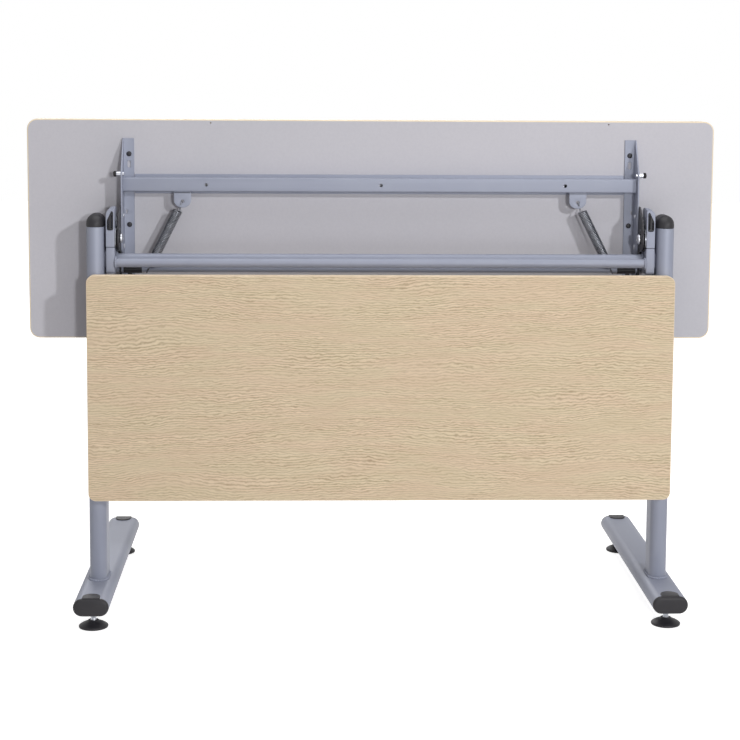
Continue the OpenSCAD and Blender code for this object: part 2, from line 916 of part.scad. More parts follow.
// Arc slot of the stop pin, which stands above the axis when the desk is folded
module stop_slot() {
    for (a = [0, flip_angle]) rotate(90 + a) translate([stop_r, 0]) circle(d = stop_d + 2 * seat_gap);
    reach = 2 * stop_r;
    intersection() {
        difference() {
            circle(stop_r + stop_d / 2 + seat_gap);
            circle(stop_r - stop_d / 2 - seat_gap);
        }
        rotate(90)
            polygon([
                [0, 0], [reach, 0], [reach, reach], [reach * cos(flip_angle), reach * sin(flip_angle)],
            ]);
    }
}

module lock_plate_shape() {
    difference() {
        union() {
            circle(hub_r);
            intersection() {
                circle(rim_r);
                union() {
                    translate([-2, -head_joint + 2]) square([rim_r + 2, lock_top + head_joint - 2]);
                    translate([lock_front, -rim_r]) square([rim_r, rim_r]);
                }
            }
        }
        notch(0);
        notch(flip_angle);
        stop_slot();
    }
}

plate_screw_at = [[-8, -8], [10, 28]];
plate_screw_d = 3;
plate_screw_l = 2.5;

module lock_plate(side) {
    color(gunmetal)
        on_side(side)
            difference() {
                along_x(lock_x, lock_t) translate([0, pivot_z]) lock_plate_shape();
                rod_x_at(lock_x - 1, lock_t + 2, 0, pivot_z, pivot_d);
                plate_screw_bores();
            }
}

module plate_screw_bores() {
    for (p = plate_screw_at)
        rod_x_at(lock_x - 1, lock_t + plate_screw_l + 1, p[0], pivot_z + p[1], plate_screw_d);
}

module lock_plate_screws() {
    color(zinc)
        for (side = [left, right])
            on_side(side)
                for (p = plate_screw_at)
                    rod_x_at(lock_x, lock_t + plate_screw_l, p[0], pivot_z + p[1], plate_screw_d);
}

module pivot_bolt(side) {
    head_in = plate_x - flange_t - 0.2;
    color(zinc)
        on_side(side) {
            rod_x_at(head_in, head_out - head_in, 0, pivot_z, pivot_d);
            rod_x_at(head_in - pivot_head_t, pivot_head_t, 0, pivot_z, pivot_head_d);
        }
}

// Modesty panel

panel_fix_z = [panel_z + panel_fix_in, panel_z + panel_h - panel_fix_in];
panel_fix_l = 12;

module panel_at(y0, t, trim) {
    in_frame()
        translate([0, 0, panel_z + panel_h / 2])
            along_y(y0, t)
                rounded_sheet(panel_w - 2 * trim, panel_h - 2 * trim, panel_r - trim);
}

module panel_bores() {
    for (side = [left, right])
        on_side(side)
            for (z = panel_fix_z)
                rod_y_at(col_x, panel_y + panel_t - panel_fix_l, panel_fix_l + 1, z, screw_d);
}

module modesty_panel() {
    color(oak)
        difference() {
            panel_at(panel_y, panel_t, panel_band_t);
            panel_bores();
        }
}

module panel_edge_band() {
    color(oak_light)
        difference() {
            panel_at(panel_y, panel_t, 0);
            panel_at(panel_y - 1, panel_t + 2, panel_band_t);
        }
}

module panel_spacers() {
    color(black)
        for (side = [left, right])
            on_side(side)
                for (z = panel_fix_z)
                    difference() {
                        rod_y_at(col_x, panel_y + panel_t, panel_gap, z, spacer_d);
                        rod_y_at(col_x, panel_y + panel_t - 1, panel_gap + 2, z, screw_d + 1);
                    }
}

module panel_screws() {
    shank = panel_fix_l + panel_gap + col_d;
    color(zinc)
        for (side = [left, right])
            on_side(side)
                for (z = panel_fix_z) {
                    rod_y_at(col_x, panel_y + panel_t - panel_fix_l, shank, z, screw_d);
                    rod_y_at(col_x, col_d / 2, 2.5, z, screw_head_d);
                }
}

// Feet

foot_len = foot_front + foot_rear - 2 * foot_cap_t;
glide_y = [-foot_front + glide_in, foot_rear - glide_in];
sleeve_w = 18;
nut_t = 5;
nut_w = 19;

module foot(side) {
    color(steel)
        on_side(side)
            difference() {
                translate([col_x, 0, foot_z + foot_h / 2])
                    along_y(-foot_front + foot_cap_t, foot_len)
                        difference() {
                            stadium(foot_w, foot_h);
                            stadium(foot_w - 2 * foot_wall, foot_h - 2 * foot_wall);
                        }
                for (y = glide_y)
                    translate([col_x, y, foot_z - 1]) cylinder(h = foot_wall + 2, d = sleeve_w);
            }
}

module foot_cap(side, end) {
    y_end = end < 0 ? -foot_front : foot_rear;
    arch_r = tongue_w / 2;
    round_r = 4;
    plug_l = 12;
    color(black)
        on_side(side)
            translate([col_x, y_end, foot_z + foot_h / 2])
                mirror([0, end > 0 ? 1 : 0, 0]) {
                    intersection() {
                        along_y(0, foot_cap_t) stadium(foot_w, foot_h);
                        linear_extrude(foot_h, center = true) {
                            translate([-foot_w / 2, round_r]) square([foot_w, foot_cap_t]);
                            translate([round_r - foot_w / 2, 0]) square([foot_w - 2 * round_r, foot_cap_t]);
                            for (s = [-1, 1]) translate([s * (foot_w / 2 - round_r), round_r]) circle(round_r);
                        }
                    }
                    along_y(foot_cap_t, plug_l)
                        stadium(foot_w - 2 * foot_wall - 2 * fit_gap, foot_h - 2 * foot_wall - 2 * fit_gap);
                    translate([-arch_r, 1, foot_h / 2 - 3])
                        cube([tongue_w, foot_cap_t - 1, 3]);
                    translate([-arch_r, 1, foot_h / 2])
                        cube([tongue_w, tongue_l - arch_r - 1, tongue_t]);
                    translate([0, tongue_l - arch_r, foot_h / 2]) cylinder(h = tongue_t, r = arch_r);
                }
}

module at_glide(side, end) {
    on_side(side)
        translate([col_x, end < 0 ? glide_y[0] : glide_y[1], 0]) children();
}

module glide_sleeves() {
    color(zinc)
        for (side = [left, right], end = [-1, 1])
            at_glide(side, end)
                difference() {
                    union() {
                        translate([0, 0, foot_z]) cylinder(h = 18, d = sleeve_w);
                        translate([0, 0, foot_z + foot_wall]) cylinder(h = 3, d = sleeve_w + 6);
                    }
                    translate([0, 0, foot_z - 1]) cylinder(h = 20, d = stem_d + 2 * run_play);
                }
}

module glide_lock_nuts() {
    color(zinc)
        for (side = [left, right], end = [-1, 1])
            at_glide(side, end)
                difference() {
                    translate([0, 0, foot_z - nut_t]) cylinder(h = nut_t, d = nut_w, $fn = 6);
                    translate([0, 0, foot_z - nut_t - 1])
                        cylinder(h = nut_t + 2, d = stem_d + 2 * run_play);
                }
}
stem_seat = 5;

module glide_pad(side, end) {
    color(black)
        at_glide(side, end)
            rotate_extrude()
                polygon([
                    [0, 0], [glide_d / 2 - 1.5, 0], [glide_d / 2, 1.5], [glide_d / 2, 3.5],
                    [glide_d / 2 - 6, glide_h - 5], [stem_d / 2 + 5, glide_h - 1], [stem_d / 2 + 4, glide_h],
                    [stem_d / 2, glide_h], [stem_d / 2, stem_seat], [0, stem_seat],
                ]);
}

// The stem stands far enough into the foot to stay in its sleeve when screwed out
module glide_stem(side, end) {
    stem_top = foot_z + glide_travel + 8;
    color(zinc)
        at_glide(side, end)
            translate([0, 0, stem_seat]) cylinder(h = stem_top - stem_seat, d = stem_d);
}

echo(least_gap_of_spring_wire = least_gap(spring_wire, 5));

tabletop_core();
tabletop_laminate();
tabletop_backer();
tabletop_edge_band();
arm(left);  // left_arm
arm(right);  // right_arm
cross_rail();
spring_tab(left);  // left_spring_tab
spring_tab(right);  // right_spring_tab
pivot_plate(left);  // left_pivot_plate
pivot_plate(right);  // right_pivot_plate
pivot_bushes();
stop_pins();
plate_rivets();
arm_screws();
rail_screws();
bumper_studs();
bumper_tips();
spring(left);  // left_spring
spring(right);  // right_spring
lock_rod();
rod_sleeves();
column(left);  // left_column
column(right);  // right_column
column_cap(left);  // left_column_cap
column_cap(right);  // right_column_cap
front_beam();
rear_beam();
hinge_post(left);  // left_hinge_post
hinge_post(right);  // right_hinge_post
hinge_head(left);  // left_hinge_head
hinge_head(right);  // right_hinge_head
head_insert(left);  // left_head_insert
head_insert(right);  // right_head_insert
lock_plate(left);  // left_lock_plate
lock_plate(right);  // right_lock_plate
pivot_bolt(left);  // left_pivot_bolt
pivot_bolt(right);  // right_pivot_bolt
lock_plate_screws();
modesty_panel();
panel_edge_band();
panel_spacers();
panel_screws();
foot(left);  // left_foot
foot(right);  // right_foot
foot_cap(left, -1);  // left_front_foot_cap
foot_cap(left, 1);  // left_rear_foot_cap
foot_cap(right, -1);  // right_front_foot_cap
foot_cap(right, 1);  // right_rear_foot_cap
glide_sleeves();
glide_lock_nuts();
glide_pad(left, -1);  // left_front_glide_pad
glide_pad(left, 1);  // left_rear_glide_pad
glide_pad(right, -1);  // right_front_glide_pad
glide_pad(right, 1);  // right_rear_glide_pad
glide_stem(left, -1);  // left_front_glide_stem
glide_stem(left, 1);  // left_rear_glide_stem
glide_stem(right, -1);  // right_front_glide_stem
glide_stem(right, 1);  // right_rear_glide_stem
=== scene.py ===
import json
import math

import bmesh
import bpy
from mathutils import Matrix, Vector


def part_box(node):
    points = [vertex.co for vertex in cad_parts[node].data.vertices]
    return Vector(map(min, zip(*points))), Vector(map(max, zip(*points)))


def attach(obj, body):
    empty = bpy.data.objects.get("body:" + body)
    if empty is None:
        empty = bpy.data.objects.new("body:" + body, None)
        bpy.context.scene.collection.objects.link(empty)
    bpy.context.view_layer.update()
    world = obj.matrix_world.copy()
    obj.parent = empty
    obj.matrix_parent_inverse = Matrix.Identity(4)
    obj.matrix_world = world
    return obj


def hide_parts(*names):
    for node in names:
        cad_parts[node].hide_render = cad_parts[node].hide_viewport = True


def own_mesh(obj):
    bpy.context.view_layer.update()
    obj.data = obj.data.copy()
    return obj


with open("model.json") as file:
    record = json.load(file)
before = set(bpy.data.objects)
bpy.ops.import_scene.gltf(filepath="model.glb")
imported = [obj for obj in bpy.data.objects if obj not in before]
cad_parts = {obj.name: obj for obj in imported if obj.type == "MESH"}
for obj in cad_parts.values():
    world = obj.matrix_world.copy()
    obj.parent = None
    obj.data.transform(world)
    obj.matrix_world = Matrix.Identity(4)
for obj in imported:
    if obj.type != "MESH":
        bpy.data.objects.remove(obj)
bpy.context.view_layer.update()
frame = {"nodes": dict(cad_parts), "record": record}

MM = 0.001
scene = bpy.context.scene
SIDES = {"left": -1, "right": 1}
ENDS = ("front", "rear")
WHITE = (1, 1, 1, 1)

SHARP_DEG = 38        # edges that turn more than this stay sharp
MERGE_M = 2e-6        # points closer than this are one point
RIM_STEPS = 3         # faces across a rounded rim


# Materials

def srgb(r, g, b):
    def channel(v):
        v /= 255
        return v / 12.92 if v <= 0.04045 else ((v + 0.055) / 1.055) ** 2.4
    return (channel(r), channel(g), channel(b), 1.0)


class Shader:
    """A material whose nodes are added one by one."""

    def __init__(self, name, roughness, specular, metallic=0.0):
        self.material = bpy.data.materials.new(name)
        self.material.use_nodes = True
        self.tree = self.material.node_tree
        self.bsdf = self.tree.nodes["Principled BSDF"]
        self.bsdf.inputs["Roughness"].default_value = roughness
        self.bsdf.inputs["Metallic"].default_value = metallic
        self.bsdf.inputs["Specular IOR Level"].default_value = specular

    def node(self, kind, **inputs):
        made = self.tree.nodes.new(kind)
        for key, value in inputs.items():
            made.inputs[key.replace("_", " ")].default_value = value
        return made

    def link(self, a, b):
        self.tree.links.new(a, b)

    def coordinates(self, scale=(1, 1, 1)):
        where = self.tree.nodes.new("ShaderNodeTexCoord")
        return self.stretched(where.outputs["Object"], scale)

    def stretched(self, vector, scale):
        mapping = self.tree.nodes.new("ShaderNodeMapping")
        mapping.inputs["Scale"].default_value = scale
        self.link(vector, mapping.inputs["Vector"])
        return mapping.outputs["Vector"]

    def noise(self, vector, scale, detail=4.0, roughness=0.5, distortion=0.0):
        made = self.node("ShaderNodeTexNoise", Scale=scale, Detail=detail, Roughness=roughness,
                         Distortion=distortion)
        self.link(vector, made.inputs["Vector"])
        return made.outputs["Fac"]

    def ramp(self, value, stops):
        made = self.tree.nodes.new("ShaderNodeValToRGB")
        ramp = made.color_ramp
        while len(ramp.elements) < len(stops):
            ramp.elements.new(0.5)
        for element, (place, colour) in zip(ramp.elements, stops):
            element.position = place
            element.color = colour
        self.link(value, made.inputs["Fac"])
        return made.outputs["Color"]

    def mix(self, factor, a, b, blend="MIX"):
        made = self.tree.nodes.new("ShaderNodeMix")
        made.data_type = "RGBA"
        made.blend_type = blend
        for value, key in ((factor, "Factor"), (a, "A"), (b, "B")):
            socket = [i for i in made.inputs if i.name == key and i.enabled][0]
            if isinstance(value, bpy.types.NodeSocket):
                self.link(value, socket)
            else:
                socket.default_value = value
        return [o for o in made.outputs if o.enabled][0]

    def bump(self, height, strength, distance):
        made = self.node("ShaderNodeBump", Strength=strength, Distance=distance)
        self.link(height, made.inputs["Height"])
        self.link(made.outputs["Normal"], self.bsdf.inputs["Normal"])

    def colour(self, value):
        socket = self.bsdf.inputs["Base Color"]
        if isinstance(value, bpy.types.NodeSocket):
            self.link(value, socket)
        else:
            socket.default_value = value

    def rough(self, value, low, high):
        made = self.node("ShaderNodeMapRange", To_Min=low, To_Max=high)
        self.link(value, made.inputs["Value"])
        self.link(made.outputs["Result"], self.bsdf.inputs["Roughness"])


def oak(name, tones, fine=1.0):
    """Light oak laminate: short waving grain lines along X, on slow changes of hue.

    tones holds two base colours, then the tint of the broad streaks and that of the grain lines.
    """
    s = Shader(name, roughness=0.8, specular=0.14)
    warm, cool, streak_tint, line_tint = tones
    bright, half = (1.15, 1.16, 1.18, 1), (0.5, 0.5, 0.5, 1)
    place = s.coordinates()
    wave = s.noise(s.coordinates((3.2, 3.2, 9)), 1.0, 2, 0.5)
    wave_height = (0, 0.02, 0.055)
    bend = s.tree.nodes.new("ShaderNodeVectorMath")
    bend.operation = "MULTIPLY_ADD"
    s.link(wave, bend.inputs[0])
    bend.inputs[1].default_value = wave_height
    s.link(place, bend.inputs[2])
    bent = bend.outputs[0]

    pores = s.noise(s.stretched(bent, (66, 500, 500)), fine, 2, 0.55, 0.25)
    rows = s.node("ShaderNodeTexWave", Scale=fine, Distortion=6.0, Detail=2.0,
                  Detail_Scale=1.7, Detail_Roughness=0.5)
    rows.bands_direction = "Z"
    s.link(s.stretched(bent, (36, 74, 74)), rows.inputs["Vector"])
    share_of_rows = 0.42
    lines = s.mix(share_of_rows, pores, rows.outputs["Fac"])
    streaks = s.noise(s.stretched(bent, (8, 110, 110)), fine, 3, 0.55, 0.3)
    hue = s.noise(s.stretched(bent, (8, 50, 50)), fine, 2, 0.5)
    calm = s.noise(s.stretched(bent, (6, 36, 36)), fine, 2, 0.5, 0.4)

    base = s.ramp(hue, [(0.38, warm), (0.62, cool)])
    broad = s.ramp(streaks, [(0.30, streak_tint), (0.62, WHITE)])
    narrow = s.ramp(lines, [(0.22, line_tint), (0.50, WHITE), (0.78, bright)])
    depth = s.ramp(calm, [(0.38, half), (0.60, WHITE)])
    narrow = s.mix(depth, WHITE, narrow)
    s.colour(s.mix(1.0, s.mix(1.0, base, broad, "MULTIPLY"), narrow, "MULTIPLY"))
    s.bump(lines, 0.25, 0.0004)
    s.rough(lines, 0.84, 0.76)
    return s.material


def board_sheet():
    """Pale grey backing sheet with a faint mottle and a fine speck."""
    s = Shader("grey_sheet_finish", roughness=0.6, specular=0.3)
    slow = s.noise(s.coordinates(), 3.0, 2, 0.5, 0.2)
    fine = s.noise(s.coordinates(), 240.0, 3, 0.6)
    tone = s.ramp(slow, [(0.35, srgb(188, 188, 195)), (0.65, srgb(194, 193, 200))])
    speck = s.ramp(fine, [(0.35, (0.97, 0.97, 0.975, 1)), (0.6, WHITE)])
    s.colour(s.mix(1.0, tone, speck, "MULTIPLY"))
    s.bump(fine, 0.06, 0.0003)
    s.rough(slow, 0.55, 0.7)
    return s.material


def powder_coat(name, light, dark):
    """Silver-grey powder coat: orange peel, and a little dust in tone."""
    roughness = 0.48
    s = Shader(name, roughness=roughness, metallic=0.1, specular=0.4)
    peel = s.noise(s.coordinates(), 700.0, 2, 0.5)
    cloud = s.noise(s.coordinates(), 9.0, 3, 0.55, 0.3)
    s.colour(s.ramp(cloud, [(0.32, dark), (0.68, light)]))
    s.bump(peel, 0.10, 0.0002)
    s.rough(cloud, roughness - 0.05, roughness + 0.08)
    return s.material


def metal(name, light, dark, roughness, metallic=0.9):
    """Plated or oiled steel, a little clouded."""
    s = Shader(name, roughness=roughness, metallic=metallic, specular=0.5)
    cloud = s.noise(s.coordinates(), 60.0, 4, 0.6, 0.4)
    s.colour(s.ramp(cloud, [(0.30, dark), (0.70, light)]))
    s.bump(cloud, 0.05, 0.0002)
    s.rough(cloud, roughness - 0.06, roughness + 0.10)
    return s.material


def plastic(name, light, dark, roughness, grain=900.0, bump=0.12):
    """Moulded plastic, rubber or dark paint with a fine grain."""
    s = Shader(name, roughness=roughness, specular=0.3)
    fine = s.noise(s.coordinates(), grain, 2, 0.5)
    cloud = s.noise(s.coordinates(), 25.0, 3, 0.5)
    s.colour(s.ramp(cloud, [(0.35, dark), (0.65, light)]))
    s.bump(fine, bump, 0.0003)
    s.rough(cloud, roughness - 0.05, roughness + 0.07)
    return s.material


def board_core():
    """Chipboard of the core, which no side shows."""
    s = Shader("chipboard_finish", roughness=0.85, specular=0.2)
    chips = s.noise(s.coordinates(), 420.0, 3, 0.7)
    s.colour(s.ramp(chips, [(0.35, srgb(148, 118, 82)), (0.65, srgb(196, 168, 128))]))
    s.bump(chips, 0.3, 0.0005)
    return s.material


OAK_TONES = (srgb(214, 194, 168), srgb(212, 196, 168),
             (0.95, 0.94, 0.92, 1), (0.70, 0.67, 0.63, 1))
EDGE_TONES = (srgb(229, 210, 184), srgb(231, 215, 190),
              (0.96, 0.95, 0.94, 1), (0.92, 0.90, 0.87, 1))
FINISH = {
    "chipboard": board_core(),
    "oak_laminate": oak("oak_laminate_finish", OAK_TONES),
    "grey_sheet": board_sheet(),
    "cream_edge": plastic("cream_edge_finish",
                          srgb(236, 222, 196), srgb(230, 214, 186), 0.45, 500, 0.05),
    "light_edge": oak("light_edge_finish", EDGE_TONES, 1.3),
    "grey_powder_coat": powder_coat("grey_powder_coat_finish",
                                    srgb(146, 151, 167), srgb(139, 144, 161)),
    "black_steel": plastic("black_steel_finish",
                           srgb(48, 47, 52), srgb(38, 37, 42), 0.4, 1200, 0.06),
    "dark_steel": metal("dark_steel_finish",
                        srgb(132, 134, 141), srgb(92, 94, 100), 0.26, 0.85),
    "zinc_plated_steel": metal("zinc_plated_steel_finish",
                               srgb(206, 208, 214), srgb(178, 180, 188), 0.3),
    "black_plastic": plastic("black_plastic_finish",
                             srgb(42, 41, 45), srgb(33, 32, 36), 0.48),
    "black_rubber": plastic("black_rubber_finish",
                            srgb(38, 37, 39), srgb(30, 29, 31), 0.75, 600, 0.2),
}

slot_of = {row["node"]: row["material_slot"] for row in frame["record"]["subparts"]}
body_of_node = {n: b for b, ns in frame["record"]["behaviour"]["bodies"].items() for n in ns}
for cad_node, cad_slot in slot_of.items():
    data = frame["nodes"][cad_node].data
    data.materials.clear()
    data.materials.append(FINISH[cad_slot])


# Meshes, in millimetres in the frame of the CAD. An outline is a flat loop of points (a, b), and
# place(a, b, depth) sets each of them in space.

def box_mm(node):
    low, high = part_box(node)
    return [v / MM for v in low], [v / MM for v in high]


def to_metres(points):
    return [Vector(p) * MM for p in points]


def piece(name, bm, stands_for=(), slot=None, body=None, angle=SHARP_DEG):
    """Closes the mesh, and makes it a piece that stands for the CAD nodes."""
    stands_for = [stands_for] if isinstance(stands_for, str) else list(stands_for)
    bmesh.ops.remove_doubles(bm, verts=bm.verts, dist=MERGE_M)
    bmesh.ops.recalc_face_normals(bm, faces=bm.faces)
    mesh = bpy.data.meshes.new(name)
    bm.to_mesh(mesh)
    bm.free()
    slot = slot or slot_of[stands_for[0]]
    mesh.materials.append(FINISH[slot])
    mesh.shade_smooth()
    mesh.set_sharp_from_angle(angle=math.radians(angle))
    made = bpy.data.objects.new(name, mesh)
    scene.collection.objects.link(made)
    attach(made, body or body_of_node[stands_for[0]])
    if stands_for:
        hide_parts(*stands_for)
    return made


def ring(bm, points):
    return [bm.verts.new(p) for p in to_metres(points)]


def skin(bm, a, b):
    """Faces between two rings of the same number of points."""
    n = len(a)
    for i in range(n):
        bm.faces.new((a[i], a[(i + 1) % n], b[(i + 1) % n], b[i]))


def loft(bm, loops):
    """A closed skin through loops of the same number of points."""
    rings = [ring(bm, loop) for loop in loops]
    for a, b in zip(rings, rings[1:]):
        skin(bm, a, b)
    bm.faces.new(rings[0])
    bm.faces.new(rings[-1])


def inward(loop, distance):
    """The loop moved to its left by a distance, which is inward for one that runs anticlockwise."""
    inner = []
    n = len(loop)
    for i in range(n):
        p0, p, p1 = Vector(loop[i - 1]), Vector(loop[i]), Vector(loop[(i + 1) % n])
        e0, e1 = (p - p0).normalized(), (p1 - p).normalized()
        n0, n1 = Vector((-e0.y, e0.x)), Vector((-e1.y, e1.x))
        between = (n0 + n1).normalized()
        reach = min(distance / max(between.dot(n0), 0.3), distance * 2)
        inner.append(tuple(p + between * reach))
    return inner


def area(loop):
    """Area of a loop, above 0 where it runs anticlockwise."""
    return sum(a[0] * b[1] - b[0] * a[1] for a, b in zip(loop, loop[1:] + loop[:1])) / 2


def plate(bm, loops, thick, edge, place, back_edge=None):
    """A flat plate with rounded rims. The first loop is its outline, and the others are holes.

    edge and back_edge are the rims' radii, one for all the loops or one for each.
    """
    edges_in = edge if isinstance(edge, list) else [edge] * len(loops)
    back_edge = edges_in if back_edge is None else back_edge
    edges_out = back_edge if isinstance(back_edge, list) else [back_edge] * len(loops)
    loops = [loop if (area(loop) > 0) == (i == 0) else loop[::-1] for i, loop in enumerate(loops)]
    caps = ([], [])
    for loop, size_in, size_out in zip(loops, edges_in, edges_out):
        rims = []
        for cap, size, sign, start in ((0, size_in, 1, 0.0), (1, size_out, -1, thick)):
            turn = [math.pi / 2]
            if size > 0:
                turn = [math.pi / 2 * k / RIM_STEPS for k in range(RIM_STEPS + 1)]
            part = []
            for a in turn:
                points = inward(loop, size * (1 - math.sin(a)))
                depth = start + sign * size * (1 - math.cos(a))
                part.append(ring(bm, [place(p[0], p[1], depth) for p in points]))
            caps[cap].append(part[0])
            rims.append(part)
        strip = rims[0] + rims[1][::-1]
        for a, b in zip(strip, strip[1:]):
            skin(bm, a, b)
    for cap in caps:
        if len(cap) == 1:
            bm.faces.new(cap[0])
            continue
        edges = []
        for rim in cap:
            for i, v in enumerate(rim):
                ends = (v, rim[(i + 1) % len(rim)])
                edges.append(bm.edges.get(ends) or bm.edges.new(ends))
        bmesh.ops.triangle_fill(bm, use_beauty=True, use_dissolve=False, edges=edges)


def arc(cx, cy, r, start, stop, steps):
    """Points along an arc from one angle to another, in degrees."""
    return [(cx + r * math.cos(math.radians(start + (stop - start) * i / steps)),
             cy + r * math.sin(math.radians(start + (stop - start) * i / steps)))
            for i in range(steps + 1)]


def circle(cx, cy, r, steps=32):
    return arc(cx, cy, r, 0, 360, steps)[:-1]


def rounded(w, h, r, steps=10):
    """A rectangle with round corners about the origin."""
    x, y = w / 2 - r, h / 2 - r
    loop = []
    for cx, cy, start in ((x, y, 0), (-x, y, 90), (-x, -y, 180), (x, -y, 270)):
        loop += arc(cx, cy, r, start, start + 90, steps)
    return unique(loop)


def unique(loop):
    """The loop without points that lie on the one before."""
    return [p for i, p in enumerate(loop) if math.dist(p, loop[i - 1]) > 1e-4]


def stadium(w, h, steps=20):
    """A flat oval about the origin."""
    return rounded(w, h, min(w, h) / 2, steps)


def moved(loop, dx, dy):
    return [(x + dx, y + dy) for x, y in loop]


def filleted(points, radii, steps=5):
    """A polygon with its corners rounded."""
    n = len(points)
    loop = []
    for i in range(n):
        r = radii[i] if isinstance(radii, (list, tuple)) else radii
        p0, p, p1 = Vector(points[i - 1]), Vector(points[i]), Vector(points[(i + 1) % n])
        a, b = (p0 - p), (p1 - p)
        half = a.angle(b) / 2
        trim = min(r / math.tan(half), a.length * 0.48, b.length * 0.48)
        if trim < 0.05:
            loop.append(tuple(p))
            continue
        start, stop = p + a.normalized() * trim, p + b.normalized() * trim
        for k in range(steps + 1):
            t = k / steps
            loop.append(tuple((1 - t) ** 2 * start + 2 * t * (1 - t) * p + t * t * stop))
    return unique(loop)


def lathe(bm, profile, place, steps=40):
    """Turns a profile of (radius, distance along the axis), closed at both ends."""
    rings = []
    for r, t in profile:
        if r < 1e-6:
            rings.append([bm.verts.new(to_metres([place(0, 0, t)])[0])])
        else:
            rings.append(ring(bm, [place(x, y, t) for x, y in circle(0, 0, r, steps)]))
    for a, b in zip(rings, rings[1:]):
        if len(a) == 1 and len(b) == 1:
            continue
        if len(a) == 1 or len(b) == 1:
            tip, rim = (a[0], b) if len(a) == 1 else (b[0], a)
            for i in range(steps):
                bm.faces.new((tip, rim[i], rim[(i + 1) % steps]))
        else:
            skin(bm, a, b)
    for end in (rings[0], rings[-1]):
        if len(end) > 1:
            bm.faces.new(end)


def on_x(y, z, x0=0, way=1):
    """The place function of a shape whose depth runs along X, one way or the other."""
    return lambda a, b, t: (x0 + way * t, y + a, z + b)


def on_y(x, z, y0=0, way=1):
    return lambda a, b, t: (x + a, y0 + way * t, z + b)


def on_z(x, y, z0=0):
    return lambda a, b, t: (x + a, y + b, z0 + t)


def swept(bm, points, radius, sides=10, closed=False):
    """A tube along a path in millimetres; radius may be a list."""
    path = [Vector(p) for p in points]
    n = len(path)
    normal = None
    rings = []
    for i in range(n):
        before = path[i - 1] if (closed or i > 0) else path[0]
        after = path[(i + 1) % n] if (closed or i < n - 1) else path[-1]
        t = (after - before).normalized()
        if normal is None:
            normal = t.orthogonal().normalized()
        normal = (normal - t * normal.dot(t)).normalized()
        other = t.cross(normal)
        r = radius[i] if isinstance(radius, list) else radius
        rings.append(ring(bm, [path[i] + r * (math.cos(2 * math.pi * k / sides) * normal
                                             + math.sin(2 * math.pi * k / sides) * other)
                               for k in range(sides)]))
    for a, b in zip(rings, rings[1:]):
        skin(bm, a, b)
    if closed:
        first, last = rings[0], rings[-1]
        shift = min(range(sides), key=lambda s: sum((first[(k + s) % sides].co - last[k].co).length
                                                    for k in range(sides)))
        skin(bm, last, [first[(k + shift) % sides] for k in range(sides)])
    else:
        bm.faces.new(rings[0])
        bm.faces.new(rings[-1])


def drill(bm, r, depth, place, steps):
    """A plain cylinder."""
    lathe(bm, [(0, 0), (r, 0), (r, depth), (0, depth)], place, steps)


def cut(target, cutter):
    """Takes the cutter's shape out of the piece, and deletes the cutter."""
    bmesh.ops.recalc_face_normals(cutter, faces=cutter.faces)
    mesh = bpy.data.meshes.new("cutter")
    cutter.to_mesh(mesh)
    cutter.free()
    tool = bpy.data.objects.new("cutter", mesh)
    scene.collection.objects.link(tool)
    modifier = target.modifiers.new("cut", "BOOLEAN")
    modifier.operation = "DIFFERENCE"
    modifier.solver = "EXACT"
    modifier.object = tool
    graph = bpy.context.evaluated_depsgraph_get()
    result = bpy.data.meshes.new_from_object(target.evaluated_get(graph))
    target.modifiers.clear()
    old = target.data
    target.data = result
    result.name = old.name
    bpy.data.meshes.remove(old)
    bpy.data.objects.remove(tool)
    result.shade_smooth()
    result.set_sharp_from_angle(angle=math.radians(SHARP_DEG))


# Sizes that the pieces share with the CAD, in millimetres

FRAME_X = 14.0                       # middle of the frame
COLUMN_Y = -135.0                    # middle of the columns, and the hinge axis
PIVOT_Z = 655.0                      # height of the hinge axis
DROP = 57.0                          # from the hinge axis to the underside of the top
COLUMN_W, COLUMN_D = 30.0, 60.0
FOOT_W, FOOT_H = 60.0, 30.0
TUBE_WALL = 2.0
HEAD_X, HEAD_W = 456.0, 15.0         # inner face of the head, and its width
HEAD_FRONT, HEAD_REAR, HEAD_R = 22.0, 16.0, 55.0
CROWN_W, CROWN_H = 12.0, 19.0        # slope of the head's crown
JOINT_Z = PIVOT_Z - 13               # seam between post and head
ARM_X, ARM_W, ARM_T = 449.0, 20.0, 2.5
ROD_BACK, ROD_DOWN = 24.0, 57.0      # lock rod, from the hinge axis
ROD_TRAVEL = 12.0
ROD_SLOT_W = 8.6


def out_x(side, x):
    """X of a point that lies x outwards from the frame's middle."""
    return FRAME_X + SIDES[side] * x


def middle(node):
    """Middle of a CAD node's box."""
    low, high = box_mm(node)
    return [(a + b) / 2 for a, b in zip(low, high)]


# Boards: edge bands with rounded rims

def edge_band(name, node, radius, band, rim):
    low, high = box_mm(node)
    w, h = high[0] - low[0], high[2] - low[2]
    cx, _, cz = middle(node)
    loops = [moved(rounded(w, h, radius, 14), cx, cz),
             moved(rounded(w - 2 * band, h - 2 * band, radius - band, 14), cx, cz)]
    bm = bmesh.new()
    plate(bm, loops, high[1] - low[1], [rim, 0], lambda a, b, t: (a, low[1] + t, b))
    piece(name, bm, node)


edge_band("tabletop_band", "tabletop_edge_band", 18, 2, 1.2)
edge_band("panel_band", "panel_edge_band", 13, 1, 0.8)


# Columns, feet and their caps

SEAM = 0.7             # from a tube's skin to the middle of its weld bead
RIPPLE = 0.25          # how much the bead swells, as a share of its radius
RIPPLE_LENGTH = 1.6    # in radii


def weld(bm, path, radius):
    """A weld bead along a closed path, thicker at each ripple."""
    length = 0
    radii = []
    for a, b in zip(path, path[1:] + path[:1]):
        swell = RIPPLE * math.sin(2 * math.pi * length / (RIPPLE_LENGTH * radius))
        radii.append(radius * (1 + swell))
        length += math.dist(a, b)
    swept(bm, path, radii, 8, closed=True)


